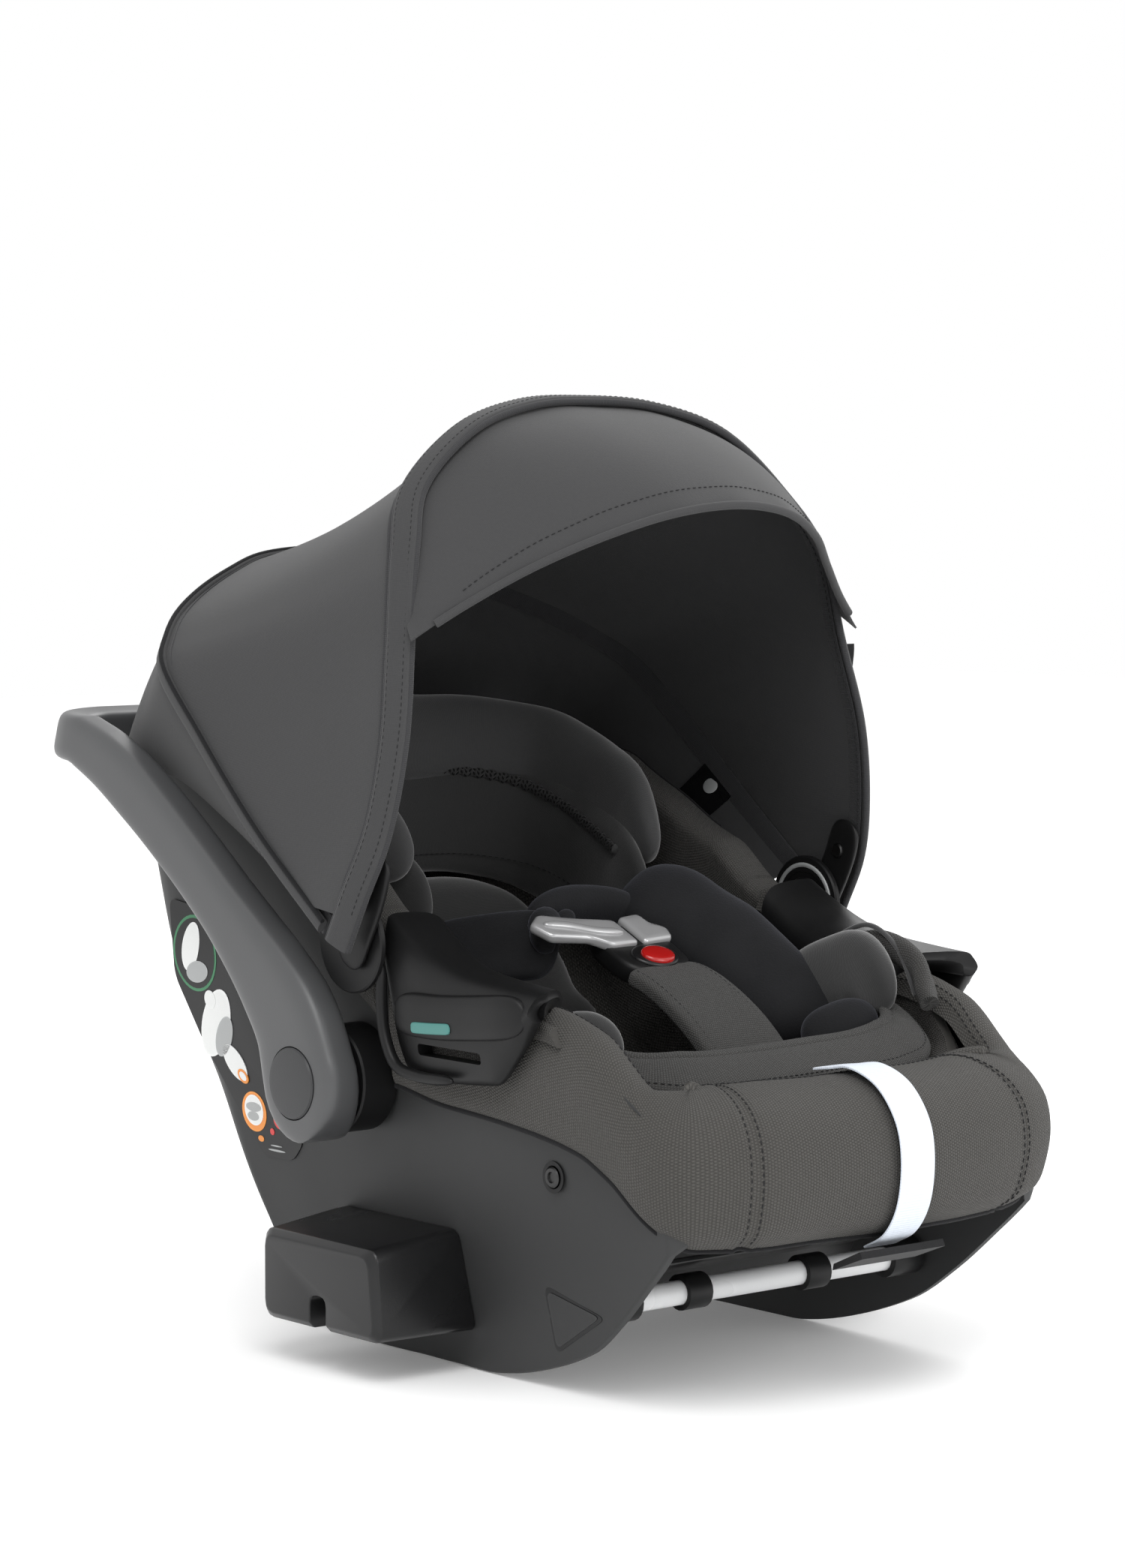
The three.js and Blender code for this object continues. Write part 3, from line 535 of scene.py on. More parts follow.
def make_materials(colours):
    for name, kind, *facts in (
        ("shell", plastic, colours.shell, 0.55, {"specular": 0.3}),
        ("handle", plastic, colours.handle, 0.4, 0.25, {"specular": 0.5}),
        ("trim", plastic, (0.0065, 0.0065, 0.0068), 0.42, 0.25, {"specular": 0.25}),
        ("block", plastic, (0.008, 0.008, 0.0085), 0.3, 0.2, {"specular": 0.4}),
        ("cap", plastic, (0.03, 0.0305, 0.032), 0.42, 0.2, {"specular": 0.4}),
        ("foam", plastic, (0.6, 0.6, 0.58), 0.85, 0.6, 300.0),
        ("label", plastic, (0.005, 0.005, 0.0055), 0.3, 0.05, {"specular": 0.3}),
        ("ink_white", plastic, (0.72, 0.73, 0.72), 0.35, 0.05),
        ("ink_grey", plastic, (0.34, 0.35, 0.35), 0.35, 0.05),
        ("ink_orange", plastic, (0.72, 0.24, 0.03), 0.35, 0.05),
        ("ink_green", plastic, (0.02, 0.15, 0.06), 0.35, 0.05),
        ("ink_red", plastic, (0.6, 0.03, 0.03), 0.35, 0.05),
        ("teal", plastic, colours.mark, 0.42, 0.1),
        ("red", plastic, (0.38, 0.008, 0.007), 0.22, 0.05, {"coat": 0.4}),
        ("tube", plastic, (0.66, 0.67, 0.68), 0.3, 0.1),
        ("bracket", plastic, (0.012, 0.012, 0.012), 0.4),
        ("steel", metal, (0.6, 0.6, 0.62), 0.3),
        ("steel_dark", metal, (0.06, 0.06, 0.06), 0.35),
        (
            "tongue", plastic, (0.42, 0.42, 0.425), 0.24, 0.1, 60.0,
            {"coat": 0.5, "metallic": 0.35, "specular": 0.6}
        ),
        ("cover", cloth, colours.cover, 0.0019, "basket", 0.0008, 0.08, 0.75, 1.0),
        ("canopy", cloth, colours.canopy, 0.0008, "plain", 0.0002, 0.12, 0.3, 0.4),
        ("binding", cloth, (0.034, 0.034, 0.036), 0.0012, "rib", 0.0003, 0.15, 0.4, 0.5),
        ("piping", cloth, (0.008, 0.008, 0.009), 0.0011, "twill", 0.0003, 0.05, 0.3, 0.5),
        ("jersey", cloth, colours.jersey, 0.0009, "rib", 0.0002, 0.6, 0.25, 0.4),
        # a brighter copy of the jersey: painted highlight on the head roll and the hip pad piping
        ("satin", cloth, (0.052, 0.052, 0.053), 0.0009, "rib", 0.0002, 0.5, 0.25, 0.4),
        ("insert_trim", cloth, (0.047, 0.046, 0.044), 0.0016, "basket", 0.0007, 0.1, 0.6, 0.9),
        ("spacer", cloth, (0.03, 0.03, 0.03), 0.0030, "mesh", 0.0008, 0.1, 0.3, 1.0),
        ("webbing", cloth, (0.014, 0.014, 0.015), 0.0018, "rib", 0.0004, 0.1, 0.4, 0.7),
        ("white_webbing", cloth, colours.strap, 0.0018, "rib", 0.0003, 0.1, 0.12, 0.5, 0.02),
        ("thread", cloth, (0.018, 0.018, 0.019), 0.0008, "twill", 0.0002, 0.1, 0.4, 0.5),
        ("thread_light", cloth, (0.11, 0.108, 0.104), 0.0008, "twill", 0.0002, 0.1, 0.4, 0.5),
        ("velour", velour, colours.velour, 0.3),
    ):
        extra = facts.pop() if isinstance(facts[-1], dict) else {}
        MATERIALS[name] = kind(name, *facts, **extra)


def paint(name, *materials):
    """Gives a CAD node its materials."""
    target = frame["nodes"][name]
    target.data.materials.clear()
    for material in materials:
        target.data.materials.append(MATERIALS[material])


# ---- stitches ----------------------------------------------------------------------------------
def stitch_group():
    """A node group that lays short threads along the edges of a mesh."""
    group = bpy.data.node_groups.get("stitch_run")
    if group:
        return group
    group = bpy.data.node_groups.new("stitch_run", "GeometryNodeTree")
    sides = group.interface
    sides.new_socket("Line", in_out="INPUT", socket_type="NodeSocketGeometry")
    for label, value in (("Pitch", 0.005), ("Length", 0.0034), ("Thickness", 0.0006)):
        sides.new_socket(label, in_out="INPUT", socket_type="NodeSocketFloat").default_value = value
    sides.new_socket("Thread", in_out="INPUT", socket_type="NodeSocketMaterial")
    sides.new_socket("Stitches", in_out="OUTPUT", socket_type="NodeSocketGeometry")
    nodes, links = group.nodes, group.links
    source, target = nodes.new("NodeGroupInput"), nodes.new("NodeGroupOutput")
    curve = nodes.new("GeometryNodeMeshToCurve")
    sample = nodes.new("GeometryNodeResampleCurve")
    sample.mode = "LENGTH"
    ball = nodes.new("GeometryNodeMeshUVSphere")
    ball.inputs["Segments"].default_value = 8
    ball.inputs["Rings"].default_value = 6
    ball.inputs["Radius"].default_value = 0.5
    size = nodes.new("ShaderNodeCombineXYZ")
    place = nodes.new("GeometryNodeInstanceOnPoints")
    tangent = nodes.new("GeometryNodeInputTangent")
    turn = nodes.new("FunctionNodeAlignRotationToVector")
    turn.axis = "Z"
    real = nodes.new("GeometryNodeRealizeInstances")
    smooth = nodes.new("GeometryNodeSetShadeSmooth")
    colour = nodes.new("GeometryNodeSetMaterial")
    for giver, out, taker, into in (
        (source, "Line", curve, "Mesh"),
        (curve, "Curve", sample, "Curve"),
        (source, "Pitch", sample, "Length"),
        (sample, "Curve", place, "Points"),
        (ball, "Mesh", place, "Instance"),
        (tangent, 0, turn, "Vector"),
        (turn, 0, place, "Rotation"),
        (source, "Thickness", size, 0),
        (source, "Thickness", size, 1),
        (source, "Length", size, 2),
        (size, 0, place, "Scale"),
        (place, 0, real, 0),
        (real, 0, smooth, 0),
        (smooth, 0, colour, "Geometry"),
        (source, "Thread", colour, "Material"),
        (colour, 0, target, 0),
    ):
        links.new(giver.outputs[out], taker.inputs[into])
    return group


def stitches(name, lines, material, pitch=5.0, length=3.4, thickness=0.9):
    """One object with a row of stitches along each line of points, in millimetres."""
    pitch = pitch or bpy.context.scene.seat_sizes.stitch / MM
    verts, edges = [], []
    for line in lines:
        first = len(verts)
        verts += [tuple(p) for p in np.asarray(line) * MM]
        edges += [(i, i + 1) for i in range(first, len(verts) - 1)]
    mesh = bpy.data.meshes.new(name)
    mesh.from_pydata(verts, edges, [])
    obj = bpy.data.objects.new(name, mesh)
    bpy.context.scene.collection.objects.link(obj)
    group = stitch_group()
    live = obj.modifiers.new("stitches", "NODES")
    live.node_group = group
    named = {s.name: s.identifier for s in group.interface.items_tree if s.in_out == "INPUT"}
    live[named["Pitch"]] = pitch * MM
    live[named["Length"]] = length * MM
    live[named["Thickness"]] = thickness * MM
    live[named["Thread"]] = MATERIALS[material]
    make_plain(obj)
    return obj


# ---- the bucket --------------------------------------------------------------------------------
rim_r = fan_track([
    (-244, 181), (-198, 212), (-161, 222), (-120, 224), (-80, 239), (-45, 256), (-10, 273),
    (25, 298), (70, 319), (127, 349), (200, 368), (219, 371)
])
outer_r = fan_track([
    (-258, 168), (-270, 145), (-272, 118), (-265, 105), (-235, 75), (-207, 50), (-174, 27),
    (-125, 9), (-78, 0), (-40, 0), (0, 0), (40, 0), (75, 0), (103, 19), (136, 67), (173, 114),
    (200, 150), (223, 187), (244, 225), (261, 264), (274, 298), (280, 340), (281, 372)
])
seat_r = fan_track([
    (-240, 183), (-195, 175), (-150, 160), (-100, 143), (-40, 125), (20, 121), (80, 140),
    (131, 175), (171, 219), (211, 264), (242, 318), (259, 362)
])
rail_depth = track([
    (47, 0.4), (51, 16), (55, 34), (60, 50), (66, 62), (75, 66), (90, 58), (100, 44), (112, 22),
    (124, 0.4)
])
corner_r = track([(43, 44), (46, 44), (50, 2), (104, 2), (124, 46), (150, 56), (167, 58)])
inner_corner_r = track([(43, 47), (47, 46), (54, 34), (104, 36), (124, 42), (150, 50), (167, 52)])
crown = track([(43, 13), (50, 8), (60, 3), (130, 3), (167, 4)])
half_width = track([(0, 130), (60, 143), (120, 152), (175, 157), (250, 163), (400, 156)])
skirt_r = track([
    (45.8, 387), (49.5, 351), (51.5, 337), (60.7, 295), (72.2, 266), (79.5, 253), (82, 225),
    (84, 206), (90, 190), (100, 168), (112, 142), (148, 155), (164, 212), (167, 232)
])


def shell_x(a, r):
    return half_width(FAN_Z - r * math.sin(math.radians(a)))


def floor_r(a):
    return outer_r(a) - rail_depth(a)


def inner_half(a, inset, bottom, top, wall=10, bend=10, floor=6):
    wide = max(4.0, inner_corner_r(a) - inset * 0.6)
    c = min(wide, bottom - top - 2)
    pts = []
    for k in range(wall):
        r = top + (bottom - c - top) * k / (wall - 1)
        pts.append((shell_x(a, r) - inset + 0.6 * math.sin(math.pi * k / (wall - 1)), r))
    edge = pts[-1][0]
    for j in range(1, bend + 1):
        t = math.pi / 2 * j / bend
        pts.append((edge - wide * (1 - math.cos(t)), bottom - c + c * math.sin(t)))
    x0 = pts[-1][0]
    for j in range(1, floor + 1):
        f = j / floor
        pts.append((x0 * (1 - f), bottom + crown(a) * (1 - (1 - f) ** 2)))
    return pts


def outer_half(a, top, wall=10, bend=8, floor=6):
    bottom = outer_r(a)
    c = corner_r(a)
    tall = min(c, bottom - top - 2)
    pts = []
    for k in range(wall):
        r = top + (bottom - tall - top) * k / (wall - 1)
        pts.append((shell_x(a, r) + 0.6 * math.sin(math.pi * k / (wall - 1)), r))
    edge = pts[-1][0]
    for j in range(1, bend + 1):
        t = math.pi / 2 * j / bend
        pts.append((edge - c * (1 - math.cos(t)), bottom - tall + tall * math.sin(t)))
    rail = pts[-1][0] - SHELL_WALL
    pts += [(rail, bottom), (rail - 1, floor_r(a))]
    for j in range(1, floor + 1):
        f = j / floor
        pts.append(((rail - 1) * (1 - f), floor_r(a) + crown(a) * (1 - (1 - f) ** 2)))
    return pts


def both_sides(a, half):
    """Points of a fan section from the right edge, under the middle, to the left edge."""
    half = np.array([(float(x), float(r)) for x, r in half])
    whole = np.vstack([half, half[-2::-1] * (-1, 1)])
    return fan_point(a, whole[:, 1], whole[:, 0])


def make_shell():
    angles = np.linspace(*SHELL_FAN)
    outer = [both_sides(a, outer_half(a, rim_r(a))) for a in angles]
    inner = [
        both_sides(a, inner_half(a, SHELL_WALL, floor_r(a) - SHELL_WALL, rim_r(a))) for a in angles
    ]
    shell = skins("bucket_shell", outer, inner, "shell", 32)
    settle(shell, "root", "shell_tub", slot="shell")
    paint("foam_liner", "foam")
    for side, tag in SIDES:
        settle(softened(
            f"docking_block_{tag}", f"dock_{tag}", "block", 2.2, 4
        ), "root", f"docking_block_{tag}", slot="block")
        settle(disc_stack(
            f"screw_{tag}", side,
            [
                (0.5, 156), (6.2, 156), (6.2, 156.6), (5.4, 157.4), (3.4, 157.4), (3.0, 156.2),
                (0.5, 156.2)
            ], *SCREW, "steel_dark"
        ), "root", f"side_screw_{tag}", slot="steel_dark")
        # painted shade: a dark disc round the screw stands for the shade in its recess
        settle(disc_stack(
            f"screw_recess_shade_{tag}", side,
            [(0.5, 155.2), (9.5, 155.2), (9.5, 155.9), (7.0, 155.9), (6.4, 155.2)], *SCREW, "trim"
        ), "root")
        # painted shade: a black plate that shows round the badge stands for the shade in its groove
        settle(wall_plate(
            f"badge_groove_shade_{tag}", side, rounded([(-144, 66), (-145, 23), (-197, 53)], 7), -1.0,
            0.35, "label"
        ), "root")
        settle(wall_plate(
            f"badge_{tag}", side, rounded([(-146, 62.5), (-147, 26.5), (-192.5, 53)], 6), -0.6, 0.8,
            "shell"
        ), "root", f"side_badge_plate_{tag}", slot="shell")
        make_label(side, tag)
        settle(disc_stack(
            f"hub_{tag}", side, [(1, 160), (33.5, 160), (33.5, 183.2), (32.3, 184.4), (1, 184.4)],
            *HUB, "trim"
        ), "root", f"handle_hub_drum_{tag}", slot="trim")
        paint(f"handle_axle_{tag}", "steel")


def wall_plate(name, side, outline, low, high, material):
    """A thin plate that follows the side wall between two heights off it."""
    outline = np.asarray(outline, float)
    middle = outline.mean(0)
    scales = np.linspace(1, 0.12, 9)
    grid = np.stack([middle + (outline - middle) * s for s in scales])
    grid = np.concatenate([grid, grid[:, :1]], 1)
    x = half_width(grid[..., 1])
    top = np.stack([side * (x + high), grid[..., 0], grid[..., 1]], -1)
    under = np.stack([side * (x + low), grid[..., 0], grid[..., 1]], -1)
    rings = np.concatenate([under[::-1, :-1], top[:, :-1]])
    return tube(name, rings, material, 30)


def ellipse(y, z, p, q, lean=0.0, count=36):
    t = circle(count)
    c, s = math.cos(math.radians(lean)), math.sin(math.radians(lean))
    a, b = p * np.cos(t), q * np.sin(t)
    return np.stack([y + a * c - b * s, z + a * s + b * c], 1)


def make_label(side, tag):
    """The black side film with plain generic shapes."""
    settle(wall_plate(
        f"label_{tag}", side,
        rounded(
            [(214, 270), (210, 219), (183, 176), (127, 110), (96, 110), (82, 124), (150, 262)], 7
        ), 0.2, 1.3, "label"
    ), "root", f"side_label_{tag}", slot="label")
    shapes = [
        (
            "green", ellipse(186, 236, 24, 25), "ink_green", 1.5
        ), ("green_in", ellipse(186, 236, 22, 23), "label", 1.6),
        (
            "seat_a", ellipse(190, 240, 9, 17, 20), "ink_white", 1.8
        ), ("seat_b", ellipse(184, 224, 12, 7, -10), "ink_grey", 1.9),
        (
            "back", ellipse(168, 192, 14, 25, 30), "ink_white", 1.7
        ), ("body", ellipse(160, 184, 8, 15, 30), "ink_grey", 1.8),
        ("head", ellipse(172, 207, 6, 6), "ink_white", 1.9), (
            "base", ellipse(150, 168, 15, 8, 40), "ink_white", 1.8
        ),
        ("tag", ellipse(142, 160, 6, 4, 30), "ink_orange", 2.0), (
            "cap", ellipse(142, 160, 4, 2.4, 30), "ink_white", 2.1
        ),
        ("orange", ellipse(133, 138, 13, 13), "ink_orange", 1.6), (
            "orange_in", ellipse(133, 139, 10, 10), "ink_white", 1.8
        ),
        ("car", ellipse(133, 141, 8, 3, 0), "ink_grey", 2.0), (
            "seat_c", ellipse(134, 135, 6, 3, 0), "ink_grey", 2.0
        ),
        ("red", ellipse(106, 136, 6.5, 6.5), "ink_red", 1.6), (
            "red_in", ellipse(106, 136, 4.8, 4.8), "ink_white", 1.8
        ),
        ("dot_a", ellipse(128, 121, 3, 2), "ink_orange", 1.6), (
            "dot_b", ellipse(115, 127, 2.2, 2.2), "ink_red", 1.6
        ),
        (
            "line_a", ellipse(112, 115, 9, 0.7), "ink_grey", 1.6
        ), ("line_b", ellipse(112, 118, 6, 0.5), "ink_grey", 1.6),
    ]
    for word, outline, ink, high in shapes:
        settle(wall_plate(f"label_{word}_{tag}", side, outline, 0.4, high, ink), "root")


# ---- handle ------------------------------------------------------------------------------------
ARM = [
    (12, 175, 37), (25, 208, 33), (46, 232, 28.5), (74, 257, 23.5), (104, 281, 20.5),
    (142, 309, 20), (186, 338, 20), (226, 360, 18.5), (256, 372, 16.5)
]


def make_handle():
    stations = []
    lobe = unit(np.array([0, 13.0, 33.0]))
    for d in (36.6, 35.2, 32.6, 28.5, 23, 16, 8):
        p = np.array([200, 12, 175.0]) - lobe * d
        stations.append((p, math.sqrt(37**2 - d * d), 14.5))
    line = smooth_line([(200, y, z) for y, z, _ in ARM], 60)
    run = np.cumsum([0] + [math.hypot(b[0] - a[0], b[1] - a[1]) for a, b in zip(ARM, ARM[1:])])
    wide_at = track([(s, w) for s, (_, _, w) in zip(run, ARM)])
    for i, p in enumerate(line):
        t = i / 59
        stations.append((p, float(wide_at(t * run[-1])), 14.5 - 2.5 * t))
    for deg in np.linspace(6, 90, 15):
        c, s = math.cos(math.radians(deg)), math.sin(math.radians(deg))
        stations.append((
            np.array([200 - 40 * (1 - c), 259.5 + 40 * s, 373 + deg / 45]), 15.5, 12 - 2 * deg / 90
        ))
    stations += [(np.array([x, 299.6, 375.0]), 15.5, 10) for x in (140, 110, 80, 50, 20)]
    whole = stations + [(p * (-1, 1, 1), w, t) for p, w, t in reversed(stations)]
    wides = [
        np.array([0, -p[2] + 55, p[1] + 118]) if p[1] < 257 else np.array([0, -0.33, 0.94])
        for p, _, _ in whole
    ]
    wides = unit(np.array([unit(w) for w in wides]))
    for _ in range(6):
        wides[1:-1] = unit(wides[:-2] + 2 * wides[1:-1] + wides[2:])
    outlines = [section(w, t, 44, 4.2) for _, w, t in whole]
    rings = sweep_rings(np.array([p for p, _, _ in whole]), wides, outlines)
    bar = tube("carry_handle", rings, "handle", 46)
    for side in (1, -1):
        cutter = disc_stack(
            "cutter", side, [(1, 203.4), (22.7, 203.4), (22.7, 222), (1, 222)], *HUB, "handle"
        )
        subtract(bar, cutter, 44)
    settle(bar, "handle", "handle_bar", slot="handle")
    for side, tag in SIDES:
        settle(disc_stack(
            f"hub_cap_{tag}", side,
            [(1, 208), (22, 208), (22, 214.6), (21.2, 215.6), (18, 216), (1, 216.1)], *HUB, "cap"
        ), f"release_button_{tag}", f"handle_release_button_{tag}", slot="trim")
        paint(f"release_button_spring_{tag}", "steel")


# ---- belt guides -------------------------------------------------------------------------------
GUIDE_TOP = track([(-178, 240), (-150, 242), (-110, 246), (-80, 254), (-46, 270), (-36, 276)])
GUIDE_LOW = track([(-178, 228), (-162, 206), (-140, 187), (-64, 183), (-48, 198), (-36, 240)])
GUIDE_SWELL = track([(-178, 14), (-80, 14), (-44, 10), (-36, 9)])


def round_loop(points, times=2):
    """Cuts the corners of a closed loop, twice as many points each time."""
    p = np.asarray(points, float)
    for _ in range(times):
        ahead = np.roll(p, -1, 0)
        p = np.stack([0.78 * p + 0.22 * ahead, 0.22 * p + 0.78 * ahead], 1).reshape(-1, p.shape[1])
    return p


def subtract(obj, cutter, sharp=40):
    cut = obj.modifiers.new("cut", "BOOLEAN")
    cut.operation = "DIFFERENCE"
    cut.object = cutter
    cut.solver = "EXACT"
    final = make_plain(obj)
    bpy.data.objects.remove(cutter)
    final.shade_smooth()
    final.set_sharp_from_angle(angle=math.radians(sharp))


def guide_body(side, tag):
    rings = []
    for y in np.linspace(GUIDE_FRONT, GUIDE_BACK, 56):
        t = float(GUIDE_TOP(y))
        b = min(float(GUIDE_LOW(y)), t - 12)
        skin = float(half_width(t)) + 9
        slant = GUIDE_SLANT * (GUIDE_BACK - y) / (GUIDE_BACK - GUIDE_FRONT)
        w = float(GUIDE_SWELL(y))
        loop = [
            (1, b), (w - 5, b), (w, b + (t - b) * 0.4), (w - 2, t - 3), (4, t + 5), (-30, t + 3),
            (-41, t - 6), (-43, t - 26), (-38.5, t - 26), (-37, t - 6), (-30, t - 1.5), (0, t - 1.5)
        ]
        loop = round_loop(loop)
        rings.append([
            (side * (skin + off), y + slant * min(1, max(0, -off / 43)), z) for off, z in loop
        ])
    guide = tube(f"guide_{tag}", rings, "trim", 40)
    outline = rounded([(-74, 199), (-74, 206), (-134, 206), (-134, 199)], 2.8, 5)
    slot = [np.column_stack([np.full(len(outline), side * x), outline]) for x in (166, 200)]
    subtract(guide, tube("slot_cutter", slot, "trim"))
    return guide


def make_guides():
    for side, tag in SIDES:
        guide = guide_body(side, tag)
        settle(guide, "root", f"belt_guide_{tag}", slot="trim")
        x = side * 184.5
        path = [
            (x - side * 1.5, -52, 222), (x, -70, 223), (x, -95, 223.5), (x, -125, 226),
            (x, -152, 229), (x - side * 2, -174, 232)
        ]
        settle(cushion(
            f"guide_bar_{tag}", path, 13.5, 5.0, (0, 0.1, 1), "trim", 60, 3.4, 0.0, 1.0, 8.0
        ), "root")
        border = [
            (x, -40, 250), (x + side * 1.5, -41, 230), (x + side * 2, -45, 208),
            (x + side * 2, -56, 191), (x + side * 1.5, -76, 186.5), (x + side * 1.5, -110, 187)
        ]
        settle(cushion(
            f"guide_border_{tag}", border, 3.6, 3.4, (1, 0, 0), "trim", 60, 2.2, 0.0, 1.0, 10.0
        ), "root")
        mark = [
            (side * 189.4, -74.5, 216.0), (side * 189.6, -93, 217), (side * 189.4, -111.5, 218.4)
        ]
        settle(cushion(
            f"guide_mark_{tag}", mark, 3.4, 1.5, (0, 0, 1), "teal", 30, 4.0, 0.0, 1.0, 16.0
        ), "root", f"belt_guide_insert_{tag}", slot="teal")


# ---- seat cover --------------------------------------------------------------------------------
def cover_half(a, lift, inset, bottom, puff):
    rim = float(rim_r(a))
    hem = max(float(skirt_r(a)), rim + 8) if a > 83 else rim + 8
    pts = []
    steps = 16
    low = rim + 3
    for k in range(steps):
        f = k / (steps - 1)
        r = hem + (low - hem) * f
        swell = (
            puff * min(1.0, (hem - low) / 40) * math.sin(math.pi * min(1, f * 1.15 + 0.02)) ** 0.6
        )
        tuck = -1.6 * max(0, 1 - f * 9) if puff else 0
        pts.append((float(shell_x(a, r)) + lift + swell + tuck, r))
    edge = float(shell_x(a, rim))
    right, left = edge + lift, edge - inset
    mid, half = (right + left) / 2, (right - left) / 2
    for t in np.linspace(0, math.pi, 15)[1:-1]:
        c, s = math.cos(t), math.sin(t)
        x = mid + half * math.copysign(abs(c) ** 0.7, c)
        pts.append((x, low - (3 + lift) * s**0.7))
    inside = inner_half(a, inset, bottom, low, 10, 10, 8)
    if puff:
        inside = [
            (x - puff * 0.8 * math.sin(math.pi * min(1, i / 11)), r)
            for i, (x, r) in enumerate(inside)
        ]
    return pts + inside


def make_cover():
    angles = np.linspace(*COVER_FAN)
    inner = [both_sides(a, cover_half(a, 1.4, 19, float(seat_r(a)) + 6, 0)) for a in angles]
    outer = [both_sides(a, cover_half(a, 7.0, 25, float(seat_r(a)), 1.6)) for a in angles]
    outer = np.array(outer)
    outer += (0.5 * ripple(outer, 30, 0.4))[..., None] * unit(outer - np.array([0, 0, 260.0]))
    settle(skins(
        "seat_cover_soft", outer, inner, "cover", 60
    ), "root", "seat_cover", slot="cover", fill=0.5)
    skirt, rows, hem = girdle_body()
    settle(skirt, "root", "front_bolster", slot="cover", fill=0.6)
    settle(stitches("cover_stitches", rows, "thread", 4.6, 3.1, 0.9), "root")
    settle(cord("cover_hem", hem, (0, 0, 1), 1.7, 1.7, "piping"), "root")
    rim = outer[60:118, 16 + 2]
    settle(cord("rim_piping", rim, (0, 0, 1), 1.4, 1.4, "piping", 10), "root")


RIM_TOP = track([
    (-305, 190), (-244, 191), (-198, 221), (-161, 231), (-120, 233.5), (-80, 248.5), (-45, 265.5),
    (-28, 275)
])
HEM_LOW = track([
    (-305, 99), (-284, 106), (-258, 119), (-222, 142), (-200, 152), (-134, 162), (-71, 167),
    (-28, 173)
])


def girdle_body():
    """The padded skirt that runs round the front of the rim: side, front roll and side in one."""
    half = [
        (166.8, -26, 0), (167, -80, 0), (166.8, -130, 0), (166.2, -180, 0), (165.6, -218, 0),
        (162.5, -248, 0), (150, -274, 0), (116, -292, 0), (60, -302, 0), (0, -306, 0)
    ]
    plan = smooth_line(mirror_line(half), 221)
    along = unit(np.gradient(plan, axis=0))
    inward = np.stack([along[:, 1], -along[:, 0], 0 * along[:, 0]], 1)
    if inward[110][1] < 0:
        inward = -inward
    outer = []
    for p, n in zip(plan, inward):
        t, h = float(RIM_TOP(p[1])), float(HEM_LOW(p[1]))
        f = min(1.0, max(0.0, (-p[1] - 228) / 62))
        f = f * f * (3 - 2 * f)
        side = np.array([
            (3, h), (0.5, h + 5), (-0.5, h + 16), (-2, (h + t) / 2), (0, t - 20), (5, t - 7),
            (15, t + 0.5), (26, t - 1.5), (33.5, t - 13)
        ])
        front = np.array([
            (22, 100), (8, 111), (2, 128), (0, 146), (4, 166), (18, 182), (39, 191), (59, 190.5),
            (79, 183)
        ])
        shape = side * (1 - f) + front * f
        shape = smooth_line(np.column_stack([shape, np.zeros(9)]), 40)[:, :2]
        outer.append([(p[0] + n[0] * d, p[1] + n[1] * d, z) for d, z in shape])
    outer = np.array(outer)
    normal = unit(np.cross(np.gradient(outer, axis=0), np.gradient(outer, axis=1)))
    if (normal * (outer - (0, -150, 170))).sum() < 0:
        normal = -normal
    seam = bpy.context.scene.seat_sizes.seam / MM
    near = np.exp(-(((np.abs(plan[:, 0]) - seam) / 3.0) ** 2)) * (plan[:, 1] < -200)
    swell = 0.8 * ripple(outer, 26, 1.1) - 2.0 * near[:, None]
    swell += (
        0.45 * np.sin(plan[:, 0] * 0.9)[:, None] * np.exp(
            -(((np.abs(plan[:, 0]) - seam) / 12.0) ** 2)
        )[:, None] * (plan[:, 1] < -200)[:, None]
    )
    outer = outer + normal * swell[..., None]
    body = skins("cover_girdle", outer, outer - normal * 4.2, "cover", 70)
    rows = []
    for offset in (-4.2, 4.2):
        for side in (-1, 1):
            i = int(
                np.argmin(np.abs(plan[:, 0] - side * (seam + offset)) + 1e3 * (plan[:, 1] > -200))
            )
            rows.append(outer[i, 2:-2] + normal[i, 2:-2] * 0.3)
    rows.append(outer[4:-4, 33] + normal[4:-4, 33] * 0.3)
    rows.append(outer[4:-4, 35] + normal[4:-4, 35] * 0.3)
    return body, rows, outer[:, 0]


# ---- canopy ------------------------------------------------------------------------------------
STEPS = 140
FRONT_BOW = [
    (209, -27, 262), (208, -44, 295), (201, -56, 330), (192, -61, 383), (181, -53, 440),
    (170, -44, 500), (150, -27, 536), (104, -20, 573), (50, -12, 589), (0, -8, 592)
]
BACK_BOW = [
    (204, -6, 272), (205, 60, 323), (202, 125, 379), (195, 176, 422), (178, 196, 438),
    (159, 212, 451), (130, 229, 465), (95, 244, 478), (58, 257, 488), (0, 260, 492)
]
HEM = [
    (181, 4, 262), (180, 62, 292), (179, 120, 322), (178, 185, 350), (175, 240, 352),
    (161, 274, 350), (132, 286, 347), (60, 289, 346), (0, 290, 346)
]
VISOR = [
    (184, -68, 446), (155, -82, 466), (122, -104, 488), (87, -130, 507), (46, -149, 521),
    (0, -155, 526)
]


def out_from(p):
    return unit(np.asarray(p, float) - (0, 10, 300))


